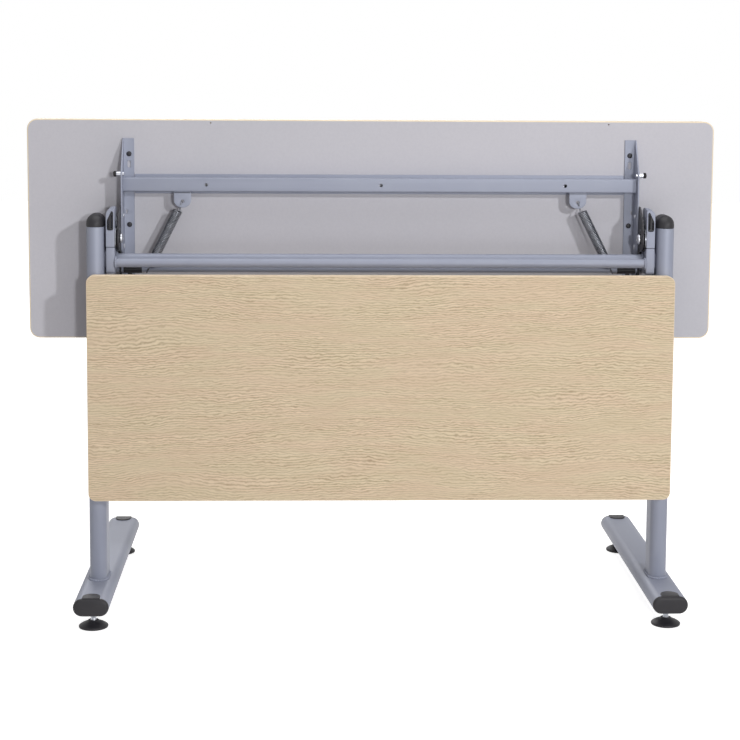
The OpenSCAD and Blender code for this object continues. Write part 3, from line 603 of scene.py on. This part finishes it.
def dense(loop, step):
    """The same closed path with a point every step."""
    fine = []
    for a, b in zip(loop, loop[1:] + loop[:1]):
        parts = max(1, round(math.dist(a, b) / step))
        fine += [tuple(u + (v - u) * k / parts for u, v in zip(a, b)) for k in range(parts)]
    return fine


def oval_tube(w, d, x, y):
    """Outline and bore of a flat oval tube."""
    return [moved(stadium(w, d), x, y),
            moved(stadium(w - 2 * TUBE_WALL, d - 2 * TUBE_WALL), x, y)]


def column(side):
    node = f"{side}_column"
    low, high = box_mm(node)
    cx = middle(node)[0]
    bm = bmesh.new()
    plate(bm, oval_tube(COLUMN_W, COLUMN_D, cx, COLUMN_Y),
          high[2] - low[2], [0.5, 0.3], lambda a, b, t: (a, b, low[2] + t))
    piece(f"{side}_column_tube", bm, node)
    bead = moved(stadium(COLUMN_W + 2 * SEAM, COLUMN_D + 2 * SEAM), cx, COLUMN_Y)
    bm = bmesh.new()
    weld(bm, dense([(x, y, low[2] + 0.9) for x, y in bead], 1.0), 2.3)
    piece(f"{side}_column_weld", bm, slot="grey_powder_coat", body="base")


def column_cap(side):
    """A domed cap, round across the column and flatter along it, with a shadow line below."""
    node = f"{side}_column_cap"
    cx = middle(node)[0]
    top = box_mm(node)[1][2]
    height, collar, rise, steps = 22.0, 1.6, 3, 16
    base = top - height
    dome, shoulder = COLUMN_W / 2, height - rise

    def level(z, w, d):
        return [(x, y, base + z) for x, y in moved(stadium(w, d), cx, COLUMN_Y)]

    loops = [level(z, COLUMN_W - 2 * inset, COLUMN_D - 2 * inset)
             for z, inset in ((0.0, 0.7), (0.9, 0.7), (0.9, 0.0), (collar, 0.0))]
    for i in range(1, steps + 1):
        z = collar + (height - collar) * math.sin(math.pi / 2 * i / steps) * 0.999
        a, b = dome, COLUMN_D / 2
        if z > height - dome:
            a = math.sqrt(max(dome ** 2 - (z - height + dome) ** 2, 0.3))
        if z > rise:
            b = COLUMN_D / 2 - shoulder + math.sqrt(shoulder ** 2 - (z - rise) ** 2)
        loops.append(level(z, 2 * a, 2 * b))
    bm = bmesh.new()
    loft(bm, loops)
    piece(f"{side}_column_dome", bm, node)


SLEEVE_HOLE_R = 9.02


def foot(side):
    """The foot's tube, with holes for the glides' sleeves in its underside."""
    node = f"{side}_foot"
    low, high = box_mm(node)
    cx, _, cz = middle(node)
    bm = bmesh.new()
    plate(bm, oval_tube(FOOT_W, FOOT_H, cx, cz),
          high[1] - low[1], [0.5, 0.3], lambda a, b, t: (a, low[1] + t, b))
    made = piece(f"{side}_foot_tube", bm, node)
    cutter = bmesh.new()
    for end in ENDS:
        gx, gy, _ = middle(f"{side}_{end}_glide_pad")
        drill(cutter, SLEEVE_HOLE_R, 5, on_z(gx, gy, low[2] - 2), 40)
    cut(made, cutter)


def foot_cap(side, end):
    """An end cap with rounded edges, and a tongue that lies on top of the foot."""
    node = f"{side}_{end}_foot_cap"
    low, high = box_mm(node)
    cx = middle(node)[0]
    cz = low[2] + FOOT_H / 2
    y0, way = (low[1], 1) if end == "front" else (high[1], -1)
    bm = bmesh.new()
    outline = stadium(FOOT_W, FOOT_H)
    shape = [(0.0, 5.2), (0.25, 3.6), (0.9, 2.0), (2.0, 0.9), (3.4, 0.25), (4.8, 0.0), (6.4, 0.0),
             (7.0, 0.5), (7.0, 1.6), (8.5, 2.2)]
    loops = [[(cx + a, y0 + way * depth, cz + b) for a, b in inward(outline, inset)]
             for depth, inset in shape]
    loft(bm, loops)
    half, reach, root = 15.0, 30.0, 2.5
    tongue = [(-half, root), (half, root)] + arc(0, reach - half, half, 0, 180, 24)
    tongue_top = cz + FOOT_H / 2 + 2
    plate(bm, [unique(tongue)], 3.4, 1.1, lambda a, b, t: (cx + a, y0 + way * b, tongue_top - t),
          back_edge=0.2)
    piece(f"{side}_{end}_foot_end", bm, node)


for side in SIDES:
    column(side)
    column_cap(side)
    foot(side)
    for end in ENDS:
        foot_cap(side, end)


# Levelling glides

PAD_PROFILE = [(0, 0.6), (19, 0.6), (20, 0), (23.2, 0), (24.4, 0.5), (25, 1.5), (25, 3.0),
               (24.5, 4.0), (22.6, 5.4), (19.5, 7.2), (16, 8.9), (12.8, 10.2), (10.6, 11.0),
               (9.8, 11.6), (9.4, 12.4), (8.8, 13), (5.2, 13), (5.2, 5), (0, 5)]


def glide(side, end):
    """A pad like a low bell, and the threaded stem that stands in it."""
    pad, stem = f"{side}_{end}_glide_pad", f"{side}_{end}_glide_stem"
    x, y, _ = middle(pad)
    bm = bmesh.new()
    lathe(bm, PAD_PROFILE, on_z(x, y), 64)
    piece(f"{side}_{end}_glide_foot", bm, pad)
    low, high = box_mm(stem)
    length = high[2] - low[2]
    pitch, crest, root = 1.5, 5.0, 4.35
    profile = [(0, 0), (root, 0)]
    for i in range(int((length - 1) / pitch)):
        t = 0.5 + i * pitch
        profile += [(root, t), (crest, t + 0.5), (crest, t + 0.75), (root, t + 1.25)]
    profile += [(root, length - 0.4), (root - 0.8, length), (0, length)]
    bm = bmesh.new()
    lathe(bm, profile, on_z(x, y, low[2]), 24)
    piece(f"{side}_{end}_glide_thread", bm, stem, angle=60)


for side in SIDES:
    for end in ENDS:
        glide(side, end)

nuts = bmesh.new()
nut_low, nut_high = box_mm("glide_lock_nuts")
NUT_R, NUT_BORE = 9.5, 5.1
for side in SIDES:
    for end in ENDS:
        nut_x, nut_y, _ = middle(f"{side}_{end}_glide_pad")
        nut_loops = [moved(circle(0, 0, NUT_R, 6), nut_x, nut_y),
                     moved(circle(0, 0, NUT_BORE, 24), nut_x, nut_y)]
        plate(nuts, nut_loops, nut_high[2] - nut_low[2], [0.7, 0.3],
              lambda a, b, t: (a, b, nut_low[2] + t))
piece("glide_nuts", nuts, "glide_lock_nuts", angle=25)


# Beams between the hinge posts, with their welds

VENT_X, VENT_R = FRAME_X - 262, 1.6


def beam(end, joins):
    """A round beam, and a weld bead in joins at both its ends."""
    node = f"{end}_beam"
    low, high = box_mm(node)
    _, y, z = middle(node)
    r = (high[2] - low[2]) / 2
    bm = bmesh.new()
    drill(bm, r, high[0] - low[0], on_x(y, z, low[0]), 48)
    made = piece(f"{end}_beam_tube", bm, node)
    if end == "rear":
        vent = bmesh.new()
        drill(vent, VENT_R, 12, on_z(VENT_X, y, z), 20)
        cut(made, vent)
    for side in SIDES:
        ring_x = out_x(side, HEAD_X - 1.2)
        weld(joins, [(ring_x, y + a, z + b) for a, b in circle(0, 0, r + SEAM, 48)], 1.7)


welds = bmesh.new()
for end in ENDS:
    beam(end, welds)
piece("beam_welds", welds, slot="grey_powder_coat", body="base")


# Hinge posts, heads and inserts

def post(side):
    """The post under the head, with the block that joins it to the column."""
    node = f"{side}_hinge_post"
    low = box_mm(node)[0][2]
    high = JOINT_Z - 1
    h = high - low
    front, rear = -HEAD_FRONT + 1, HEAD_REAR - 1
    outline = filleted([(front, low), (rear, low), (rear, high), (front, high)],
                       [5, 5, 0.6, 0.6], 8)
    bm = bmesh.new()
    plate(bm, [outline], HEAD_W, 1.5,
          lambda a, b, t: (out_x(side, HEAD_X + t), COLUMN_Y + a, b))
    plate(bm, [moved(rounded(20, h - 16, 4), 0, low + h / 2)], 4.6, 0.4,
          lambda a, b, t: (out_x(side, HEAD_X + HEAD_W - 0.6 + t), COLUMN_Y + a, b))
    piece(f"{side}_hinge_bracket", bm, node)


def head_loop(x, inset, top):
    """Side outline of the head at a distance x from its inner face, with its crown rounded in."""
    r = HEAD_R - inset
    low = JOINT_Z + (0.0 if inset < 0.1 else 0.3)
    rear, front = HEAD_REAR - inset, HEAD_FRONT - inset
    turn = min(max(1 - (HEAD_W - x) / CROWN_W, -1.0), 1.0)
    crown = top + 0.6 - CROWN_H * (1 - math.sqrt(max(1 - turn * turn, 0)))
    if HEAD_W - x > CROWN_W:
        crown = top + 0.6 + (HEAD_W - x - CROWN_W) / 3
    start = math.degrees(math.acos(rear / r))
    stop = 180 - math.degrees(math.acos(front / r))
    loop = [(-front + (front + rear) * k / 6, low) for k in range(6)]
    rear_top = PIVOT_Z + r * math.sin(math.radians(start))
    loop += [(rear, low + (rear_top - low) * k / 8) for k in range(8)]
    loop += arc(0, PIVOT_Z, r, start, stop, 24)
    front_top = PIVOT_Z + r * math.sin(math.radians(stop))
    loop += [(-front, front_top + (low - front_top) * k / 8) for k in range(1, 8)]
    sharp = 0.9
    return [(y, min(z, crown) - math.log(1 + math.exp(-sharp * abs(z - crown))) / sharp
             if z > low + 1 else z) for y, z in loop]


POCKET_LOW, POCKET_TOP = 15.0, 48.0      # above the hinge axis
RIM, ROUND = 2.0, 3.0                    # metal left beside the pocket, and its corner radius


def pocket(shrink=0.0):
    """Outline of the pocket, by distance from the head's inner face and height."""
    x0, x1 = RIM, HEAD_W - RIM
    low = PIVOT_Z + POCKET_LOW
    high = PIVOT_Z + POCKET_TOP
    shoulder = PIVOT_Z + HEAD_R - CROWN_H - 2 * RIM
    loop = arc(x0 + ROUND, low + ROUND, ROUND, 180, 270, 6)
    loop += arc(x1 - ROUND, low + ROUND, ROUND, 270, 360, 6)
    loop += [(x1, shoulder - 2), (x1 - 0.6, shoulder + 1.2), (x0 + ROUND + 0.6, high - 0.6),
             (x0 + ROUND - 0.6, high), (x0 + 1, high - 0.6), (x0, high - 2.5)]
    return inward(unique(loop), shrink) if shrink else unique(loop)


def head(side):
    """The casting, with a pocket in its front and a black insert with two slots in the pocket."""
    node = f"{side}_hinge_head"
    top = PIVOT_Z + HEAD_R
    edge = 1.4
    turns = [math.pi / 2 * k / 4 for k in range(5)]
    stations = [(edge * (1 - math.cos(a)), edge * (1 - math.sin(a))) for a in turns]
    stations += [(HEAD_W - CROWN_W * (1 - math.cos(math.radians(a))), 0.0)
                 for a in range(85, 25, -8)]
    stations += [(HEAD_W - edge * (1 - math.cos(a)), edge * (1 - math.sin(a)))
                 for a in reversed(turns)]
    bm = bmesh.new()
    loft(bm, [[(out_x(side, HEAD_X + x), COLUMN_Y + y, z) for y, z in head_loop(x, inset, top)]
              for x, inset in stations])
    made = piece(f"{side}_hinge_casting", bm, node)
    cutter = bmesh.new()
    front = COLUMN_Y - HEAD_FRONT
    plate(cutter, [pocket()], 10, 0,
          lambda a, b, t: (out_x(side, HEAD_X + a), front - 1 + t, b))
    cut(made, cutter)
    bm = bmesh.new()
    slots = [moved(rounded(2.0, 24, 0.9, 4), RIM + 3.2, PIVOT_Z + POCKET_LOW + 15.5),
             moved(rounded(2.0, 13, 0.9, 4), RIM + 8.6, PIVOT_Z + POCKET_LOW + 10)]
    plate(bm, [pocket(0.15)] + slots, 6.5, [0.9, 0.3, 0.3],
          lambda a, b, t: (out_x(side, HEAD_X + a), front + 1.2 + t, b), back_edge=0)
    piece(f"{side}_head_grille", bm, f"{side}_head_insert")


for side in SIDES:
    post(side)
    head(side)


# Arms: folded angles with a tapered standing leg

ARM_LEVELS = 90


def arm(side):
    """One folded angle: its flat lies on the board, and its leg is cut to a changing depth."""
    node = f"{side}_arm"
    low, high = box_mm(node)
    z0, z1 = low[2], high[2]
    flat = DROP - ARM_T
    leg = low[1] - COLUMN_Y
    waist, sliver = 31, flat - 1.2
    knots = [(z0, sliver), (z0 + 8, waist), (PIVOT_Z - 34, waist), (PIVOT_Z - 24, leg),
             (z1 - 58, leg), (z1, sliver)]

    def tip(z):
        for (za, ya), (zb, yb) in zip(knots, knots[1:]):
            if z <= zb:
                return ya + (yb - ya) * (z - za) / (zb - za)
        return knots[-1][1]

    loops = []
    x0, x1, inner = ARM_X - ARM_W, ARM_X, ARM_X - ARM_T
    for z in (z0 + (z1 - z0) * k / ARM_LEVELS for k in range(ARM_LEVELS + 1)):
        y = (tip(max(z - 2.5, z0)) + tip(z) + tip(min(z + 2.5, z1))) / 3
        loop = [(x0, DROP - 0.5), (x0 + 0.5, DROP)] + arc(x1 - 3, DROP - 3, 3, 90, 0, 6)
        loop += [(x1, y + 0.7), (x1 - 0.2, y + 0.2), (x1 - 0.7, y)]
        loop += [(inner + 0.7, y), (inner + 0.2, y + 0.2), (inner, y + 0.7)]
        loop += arc(inner - 0.5, flat - 0.5, 0.5, 0, 90, 3)
        loop += [(x0 + 0.5, flat), (x0, flat + 0.5)]
        loops.append([(out_x(side, a), COLUMN_Y + b, z) for a, b in loop])
    bm = bmesh.new()
    loft(bm, loops)
    made = piece(f"{side}_arm_angle", bm, node)
    cutter = bmesh.new()
    slot = moved(stadium(6, 13, 8), x0 + (ARM_W - ARM_T) / 2, z1 - 44.5)
    notch = moved(rounded(3, 7, 0.8, 3), x0 + ARM_W - 6.5, PIVOT_Z + 41.5)
    for hole in (slot, notch):
        plate(cutter, [hole], 6, 0,
              lambda a, b, t: (out_x(side, a), COLUMN_Y + flat - 2 + t, b))
    cut(made, cutter)


for side in SIDES:
    arm(side)


# Cross rail: a rounded tube with a flange behind it

rail_low, rail_high = box_mm("cross_rail")
RAIL_D, RAIL_H, RAIL_WALL = 25.0, 24.0, 1.5
FLANGE_H = 34
RAIL_Y = COLUMN_Y + DROP - ARM_T - RAIL_D
RAIL_Z = (rail_low[2] + rail_high[2]) / 2
rail = bmesh.new()
rail_loops = [rounded(RAIL_D, RAIL_H, 2.4, 6),
              rounded(RAIL_D - 2 * RAIL_WALL, RAIL_H - 2 * RAIL_WALL, 1.2, 6)]
plate(rail, rail_loops, rail_high[0] - rail_low[0], [0.4, 0.2],
      lambda a, b, t: (rail_low[0] + t, RAIL_Y + RAIL_D / 2 + a, RAIL_Z + b))
rail_piece = piece("cross_rail_tube", rail, "cross_rail")
holes = bmesh.new()
for hole_x in (rail_low[0] + 144, FRAME_X, rail_high[0] - 125):
    drill(holes, 3, 8, on_y(hole_x, RAIL_Z, RAIL_Y - 3), 28)
cut(rail_piece, holes)
flange = bmesh.new()
flange_loop = moved(rounded(2 * (ARM_X - ARM_W) - 2, FLANGE_H, 1.5), FRAME_X, RAIL_Z)
plate(flange, [flange_loop], ARM_T, 0.7,
      lambda a, b, t: (a, COLUMN_Y + DROP - ARM_T + t, b), back_edge=0)
piece("cross_rail_flange", flange, slot="grey_powder_coat", body="top")

TAB_T, TAB_HOLE_R, TAB_HOLE_Z = 2.5, 3.0, 11


def spring_tab(side):
    """A folded tab with a round lower end. Returns the middle of its hole."""
    node = f"{side}_spring_tab"
    low, high = box_mm(node)
    cx = middle(node)[0]
    w, h = high[0] - low[0], high[2] - low[2]
    front = low[1]
    drop_r = 0.45 * w
    outline = [(w / 2, h - 0.6), (-w / 2, h - 0.6)]
    outline += [(w / 2 * math.cos(math.radians(a)),
                 drop_r + drop_r * math.sin(math.radians(a))) for a in range(180, 361, 8)]
    outline += [(w / 2, drop_r)]
    hole_z = low[2] + TAB_HOLE_Z
    bm = bmesh.new()
    plate(bm, [moved(unique(outline), cx, low[2]), circle(cx, hole_z, TAB_HOLE_R, 28)],
          TAB_T, [0.7, 0.5], lambda a, b, t: (a, front + t, b))
    plate(bm, [moved(rounded(w, high[1] - front, 1.0), cx, (front + high[1]) / 2)],
          TAB_T, 0.5, lambda a, b, t: (a, b, high[2] - t), back_edge=0)
    piece(f"{side}_spring_bracket", bm, node)
    return cx, front + TAB_T / 2, hole_z


# Springs: one wire each, wound on the line from the tab's hole to the lock rod

def bezier(a, b, c, d, t):
    return ((1 - t) ** 3 * Vector(a) + 3 * (1 - t) ** 2 * t * Vector(b)
            + 3 * (1 - t) * t * t * Vector(c) + t ** 3 * Vector(d))


WIRE, COIL_R, PITCH_MM, LEAD_MIN = 2.2, 7.4, 2.7, 13.0
PER_TURN = 20
TAB_HOOK_R, ROD_HOOK_R = 3.4, 6.2
SPRING_RUN = 59        # from the tab's hole outwards to where the spring holds the rod


def hook(r, lead):
    """Half a ring and the bend from it into the first coil, which starts at the height lead."""
    path = [Vector((0, -r, 1.1 * WIRE)), Vector((0, -r, 0.55 * WIRE))]
    path += [Vector((0, -r * math.cos(math.radians(a)), -r * math.sin(math.radians(a))))
             for a in range(0, 181, 15)]
    path += [bezier((0, r, 0), (0, r * 1.75, lead),
                    (COIL_R, -COIL_R * 0.7, lead - 0.4), (COIL_R, 0, lead), t / 10)
             for t in range(1, 10)]
    return path


def spring(side, hole):
    """Hook, coils and hook on the line from the tab to the rod, mirrored on the other side."""
    rod = Vector((hole[0] + SIDES[side] * SPRING_RUN, COLUMN_Y + ROD_BACK, PIVOT_Z - ROD_DOWN))
    start = Vector(hole)
    aim = (rod - start).normalized()
    start = start + aim * (TAB_HOOK_R + WIRE / 2)
    span = (rod - start).length
    turns = math.floor((span - 2 * LEAD_MIN) / PITCH_MM)
    lead = (span - turns * PITCH_MM) / 2
    coil = [Vector((COIL_R * math.cos(2 * math.pi * i / PER_TURN),
                    COIL_R * math.sin(2 * math.pi * i / PER_TURN),
                    lead + PITCH_MM * i / PER_TURN)) for i in range(turns * PER_TURN + 1)]
    low_hook = [Vector((p.x, -p.y, span - p.z)) for p in reversed(hook(ROD_HOOK_R, lead))]
    path = hook(TAB_HOOK_R, lead) + coil + low_hook
    right_aim = Vector((abs(aim.x), aim.y, aim.z))
    side_axis = Vector((0, 1, 0)).cross(right_aim).normalized()
    up_axis = right_aim.cross(side_axis)
    across, up = [Vector((v.x * SIDES[side], v.y, v.z)) for v in (side_axis, up_axis)]
    bm = bmesh.new()
    swept(bm, [start + p.x * across + p.y * up + p.z * aim for p in path], WIRE / 2, 10)
    made = piece(f"{side}_coil_spring", bm, f"{side}_spring", angle=75)
    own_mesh(made)


for side in SIDES:
    spring(side, spring_tab(side))


# Pivot plates, each with the slot that the lock rod slides in

def pivot_plate(side):
    """A hub round the hinge axis, an ear up to the board and a foot down to the rod's slot."""
    node = f"{side}_pivot_plate"
    low, high = box_mm(node)
    hub_r, front = 22, -17
    near = ROD_BACK - ROD_SLOT_W / 2 - 3
    far = ROD_BACK + 11
    foot_z = -(ROD_DOWN + ROD_SLOT_W / 2 + 5)
    back, ear_top = DROP - 5, 55
    hub_start = math.degrees(math.atan2(math.sqrt(hub_r ** 2 - front ** 2), front))
    hub_stop = 360 + math.degrees(math.atan2(-math.sqrt(hub_r ** 2 - near ** 2), near))
    hub = arc(0, 0, hub_r, hub_start, hub_stop, 36)
    points = [(front, 30)] + hub
    points += [(near, foot_z), (far, foot_z), (far, -40), (back, -30), (back, ear_top),
               (DROP - 42, ear_top)]
    radii = [7] + [0] * len(hub) + [4, 5, 5, 6, 5, 8]
    outline = [(a, PIVOT_Z + b) for a, b in filleted(points, radii)]
    slot_loop = moved(stadium(ROD_SLOT_W, ROD_TRAVEL + ROD_SLOT_W, 10),
                      ROD_BACK, PIVOT_Z - ROD_DOWN + ROD_TRAVEL / 2)
    bm = bmesh.new()
    plate(bm, [outline, slot_loop], high[0] - low[0], [0.7, 0.3],
          lambda a, b, t: (out_x(side, ARM_X + t), COLUMN_Y + a, b))
    piece(f"{side}_pivot_bracket", bm, node)


for side in SIDES:
    pivot_plate(side)


# Lock rod and its sleeves

ROD_Y, ROD_Z = COLUMN_Y + ROD_BACK, PIVOT_Z - ROD_DOWN
SLEEVE_FROM, SLEEVE_TO = 414.0, ARM_X - ARM_T - 1


def chamfered(bore, r, length):
    """Profile of a round bar or, above a bore of 0, of a sleeve, with both its rims broken."""
    edge = 0.8
    return [(bore, 0), (r - edge, 0), (r, edge), (r, length - edge), (r - edge, length),
            (bore, length)]


rod_low, rod_high = box_mm("lock_rod")
rod = bmesh.new()
lathe(rod, chamfered(0, 4, rod_high[0] - rod_low[0]), on_x(ROD_Y, ROD_Z, rod_low[0]), 36)
piece("lock_bar", rod, "lock_rod")
sleeves = bmesh.new()
for side in SIDES:
    lathe(sleeves, chamfered(4.02, 6, SLEEVE_TO - SLEEVE_FROM),
          on_x(ROD_Y, ROD_Z, out_x(side, SLEEVE_FROM), SIDES[side]), 32)
piece("lock_sleeves", sleeves, "rod_sleeves")


# Fasteners

RECESS_R, RECESS_HALF, RECESS_DEPTH = 2.6, 0.45, 1.4
DOME = [(0, 0), (1, 0), (1, 0.25), (0.93, 0.55), (0.72, 0.83), (0.4, 0.96), (0, 1)]


def cross_recess(bm, x, z, place):
    a, b = RECESS_R, RECESS_HALF
    outline = [(a, -b), (a, b), (b, b), (b, a), (-b, a), (-b, b),
               (-a, b), (-a, -b), (-b, -b), (-b, -a), (b, -a), (b, -b)]
    plate(bm, [moved(outline, x, z)], RECESS_DEPTH * 2, 0, place)


def screw_heads(name, node, spots, r, h, way, slot=None):
    """Domed heads with a cross recess, on faces square to Y. They point along Y by way."""
    bm, cutter = bmesh.new(), bmesh.new()
    for x, y, z in spots:
        lathe(bm, [(r * a, h * b) for a, b in DOME], on_y(x, z, y, way), 32)
        cross_recess(cutter, x, z, lambda a, b, t: (a, y + way * (h + RECESS_DEPTH - t), b))
    cut(piece(name, bm, node, slot), cutter)


HEAD_RADIUS = 4.5
arm_low, arm_high = (corner[2] for corner in box_mm("left_arm"))
arm_mid = ARM_X - ARM_W + (ARM_W - ARM_T) / 2
screw_heads("arm_screw_heads", "arm_screws",
            [(out_x(side, arm_mid), COLUMN_Y + DROP - ARM_T, z) for side in SIDES
             for z in (arm_high - 27, PIVOT_Z + 18.5, arm_low + 18)],
            HEAD_RADIUS, 2.2, -1, "black_steel")
panel_low, panel_high = (corner[2] for corner in box_mm("panel_edge_band"))
screw_heads("panel_screw_heads", "panel_screws",
            [(middle(f"{side}_column")[0], COLUMN_Y + COLUMN_D / 2, z) for side in SIDES
             for z in (panel_low + 65, panel_high - 65)],
            HEAD_RADIUS, 2.5, 1)

RIVET_HEAD = [(0, 0), (4.5, 0), (4.4, 0.5), (3.6, 1.1), (2.2, 1.5), (0, 1.6)]
RIVET_TAIL = [(0, 0), (2.5, 0), (2.5, 3.05), (2.0, 3.25), (0, 3.3)]
rivet_y = COLUMN_Y + DROP - 14
rivets = bmesh.new()
for side, way in SIDES.items():
    for rivet_z in (PIVOT_Z + 36, PIVOT_Z - 18):
        lathe(rivets, RIVET_HEAD, on_x(rivet_y, rivet_z, out_x(side, ARM_X - ARM_T), -way), 28)
        lathe(rivets, RIVET_TAIL, on_x(rivet_y, rivet_z, out_x(side, ARM_X), way), 24)
piece("rivet_heads", rivets, "plate_rivets")


def pivot_bolt(side):
    """A round head with a socket, and the shank through head and plates."""
    node = f"{side}_pivot_bolt"
    inner = ARM_X - 1.8 - 0.2
    reach = HEAD_X + HEAD_W - inner
    bm = bmesh.new()
    lathe(bm, [(0, 1.6), (3.2, 1.6), (3.2, -3.0), (3.7, -3.5), (6.4, -3.1), (8.2, -2.1),
               (9, -0.8), (9, 0), (5, 0), (5, reach), (0, reach)],
          on_x(COLUMN_Y, PIVOT_Z, out_x(side, inner), SIDES[side]), 40)
    piece(f"{side}_bolt", bm, node)


for side in SIDES:
    pivot_bolt(side)

STUD_L = 8
_, stud_y, stud_z = middle("bumper_studs")
studs, tips = bmesh.new(), bmesh.new()
for side, way in SIDES.items():
    lathe(studs, [(0, 0), (4, 0), (4, STUD_L - 0.6), (3.4, STUD_L), (0, STUD_L)],
          on_x(stud_y, stud_z, out_x(side, ARM_X), way), 28)
    lathe(studs, [(0, 0), (3, 0), (3, 2.5), (2.5, 3), (0, 3)],
          on_x(stud_y, stud_z, out_x(side, ARM_X - ARM_T), -way), 28)
    lathe(tips, [(0, 0), (4.7, 0), (5, 0.4), (5, 3), (4.4, 4.3), (3, 4.9), (0, 5)],
          on_x(stud_y, stud_z, out_x(side, ARM_X + STUD_L), way), 28)
piece("bumper_pins", studs, "bumper_studs")
piece("bumper_pads", tips, "bumper_tips")


# The camera of the photograph, fitted to the corners of the boards and the frame

camera_at = Vector((-111.0, -3195.7, 958.0)) * MM
YAW, PITCH, ROLL = 0.0345, 0.1100, 0.0059      # radians
FOCAL_PX, IMAGE_PX, SENSOR = 1784.1, 740, 36.0
SHIFT = -0.15                                  # of the image's height

right_way = Vector((math.cos(YAW), -math.sin(YAW), 0))
forward = Vector((math.sin(YAW) * math.cos(PITCH), math.cos(YAW) * math.cos(PITCH),
                  -math.sin(PITCH)))
up_way = right_way.cross(forward)
axis_x = math.cos(ROLL) * right_way + math.sin(ROLL) * up_way
axis_y = math.cos(ROLL) * up_way - math.sin(ROLL) * right_way
camera_data = bpy.data.cameras.new("camera")
camera_data.sensor_width = SENSOR
camera_data.sensor_fit = "HORIZONTAL"
camera_data.lens = FOCAL_PX / IMAGE_PX * SENSOR
camera_data.shift_y = SHIFT
camera_data.clip_end = 50
camera = bpy.data.objects.new("camera", camera_data)
scene.collection.objects.link(camera)
camera.matrix_world = Matrix((
    (axis_x.x, axis_y.x, -forward.x, camera_at.x),
    (axis_x.y, axis_y.y, -forward.y, camera_at.y),
    (axis_x.z, axis_y.z, -forward.z, camera_at.z),
    (0, 0, 0, 1),
))
scene.camera = camera


# Light, floor and background

def area_light(name, place, target, size, watts):
    data = bpy.data.lights.new(name, "AREA")
    data.shape = "RECTANGLE"
    data.size, data.size_y = size
    data.energy = watts
    lamp = bpy.data.objects.new(name, data)
    scene.collection.objects.link(lamp)
    lamp.location = place
    lamp.rotation_euler = (Vector(target) - Vector(place)).to_track_quat("-Z", "Y").to_euler()


area_light("key", (0.86, -4.575, 1.2), (0, -0.025, 0.6), (0.25, 0.25), 58)
area_light("side", (3.1, -4.575, 2.7), (0, -0.025, 0.6), (0.28, 0.28), 112)
area_light("top", (0, -0.5, 3.1), (0, -0.5, 0), (2.4, 2.2), 46)
area_light("back", (-0.8, 3.375, 2.6), (0, -0.025, 0.5), (2.2, 1.4), 40)


def seen_ray(nodes, links):
    """1 for rays from the camera, mirrors and glass, which see the white, and 0 for the rest."""
    paths = nodes.new("ShaderNodeLightPath")
    found = paths.outputs["Is Camera Ray"]
    for kind in ("Is Glossy Ray", "Is Transmission Ray"):
        either = nodes.new("ShaderNodeMath")
        either.operation = "MAXIMUM"
        links.new(found, either.inputs[0])
        links.new(paths.outputs[kind], either.inputs[1])
        found = either.outputs[0]
    return found


world = bpy.data.worlds.new("studio")
scene.world = world
world.use_nodes = True
tree = world.node_tree
tree.nodes.clear()
ambient = tree.nodes.new("ShaderNodeBackground")
ambient.inputs["Color"].default_value = (1.0, 0.84, 0.76, 1)
ambient.inputs["Strength"].default_value = 0.11
backdrop = tree.nodes.new("ShaderNodeBackground")
backdrop.inputs["Color"].default_value = WHITE
sky = tree.nodes.new("ShaderNodeMixShader")
tree.links.new(seen_ray(tree.nodes, tree.links), sky.inputs[0])
tree.links.new(ambient.outputs[0], sky.inputs[1])
tree.links.new(backdrop.outputs[0], sky.inputs[2])
out = tree.nodes.new("ShaderNodeOutputWorld")
tree.links.new(sky.outputs[0], out.inputs["Surface"])


def floor_finish():
    """Matt floor with a white of its own. The lamps fade far out, so that white rises there."""
    made = bpy.data.materials.new("floor_finish")
    made.use_nodes = True
    nodes, links = made.node_tree.nodes, made.node_tree.links
    nodes.clear()
    glow = nodes.new("ShaderNodeEmission")
    glow.inputs["Color"].default_value = WHITE
    where = nodes.new("ShaderNodeNewGeometry")
    reach = nodes.new("ShaderNodeVectorMath")
    reach.operation = "LENGTH"
    links.new(where.outputs["Position"], reach.inputs[0])
    fill = nodes.new("ShaderNodeMapRange")
    for name, value in (("From Min", 1.4), ("From Max", 3.4), ("To Min", 0.8), ("To Max", 1.0)):
        fill.inputs[name].default_value = value
    links.new(reach.outputs["Value"], fill.inputs["Value"])
    amount = nodes.new("ShaderNodeMath")
    amount.operation = "MULTIPLY"
    links.new(fill.outputs["Result"], amount.inputs[1])
    links.new(seen_ray(nodes, links), amount.inputs[0])
    links.new(amount.outputs[0], glow.inputs["Strength"])
    matt = nodes.new("ShaderNodeBsdfDiffuse")
    matt.inputs["Color"].default_value = (0.8, 0.8, 0.8, 1)
    total = nodes.new("ShaderNodeAddShader")
    links.new(matt.outputs[0], total.inputs[0])
    links.new(glow.outputs[0], total.inputs[1])
    final = nodes.new("ShaderNodeOutputMaterial")
    links.new(total.outputs[0], final.inputs["Surface"])
    return made


FLOOR_HALF = 9
floor_mesh = bpy.data.meshes.new("floor")
floor_bm = bmesh.new()
floor_bm.faces.new([floor_bm.verts.new((x * FLOOR_HALF, y * FLOOR_HALF, 0))
                    for x, y in ((-1, -1), (1, -1), (1, 1), (-1, 1))])
floor_bm.to_mesh(floor_mesh)
floor_bm.free()
floor_mesh.materials.append(floor_finish())
floor_object = bpy.data.objects.new("floor", floor_mesh)
scene.collection.objects.link(floor_object)

scene.view_settings.view_transform = "Standard"
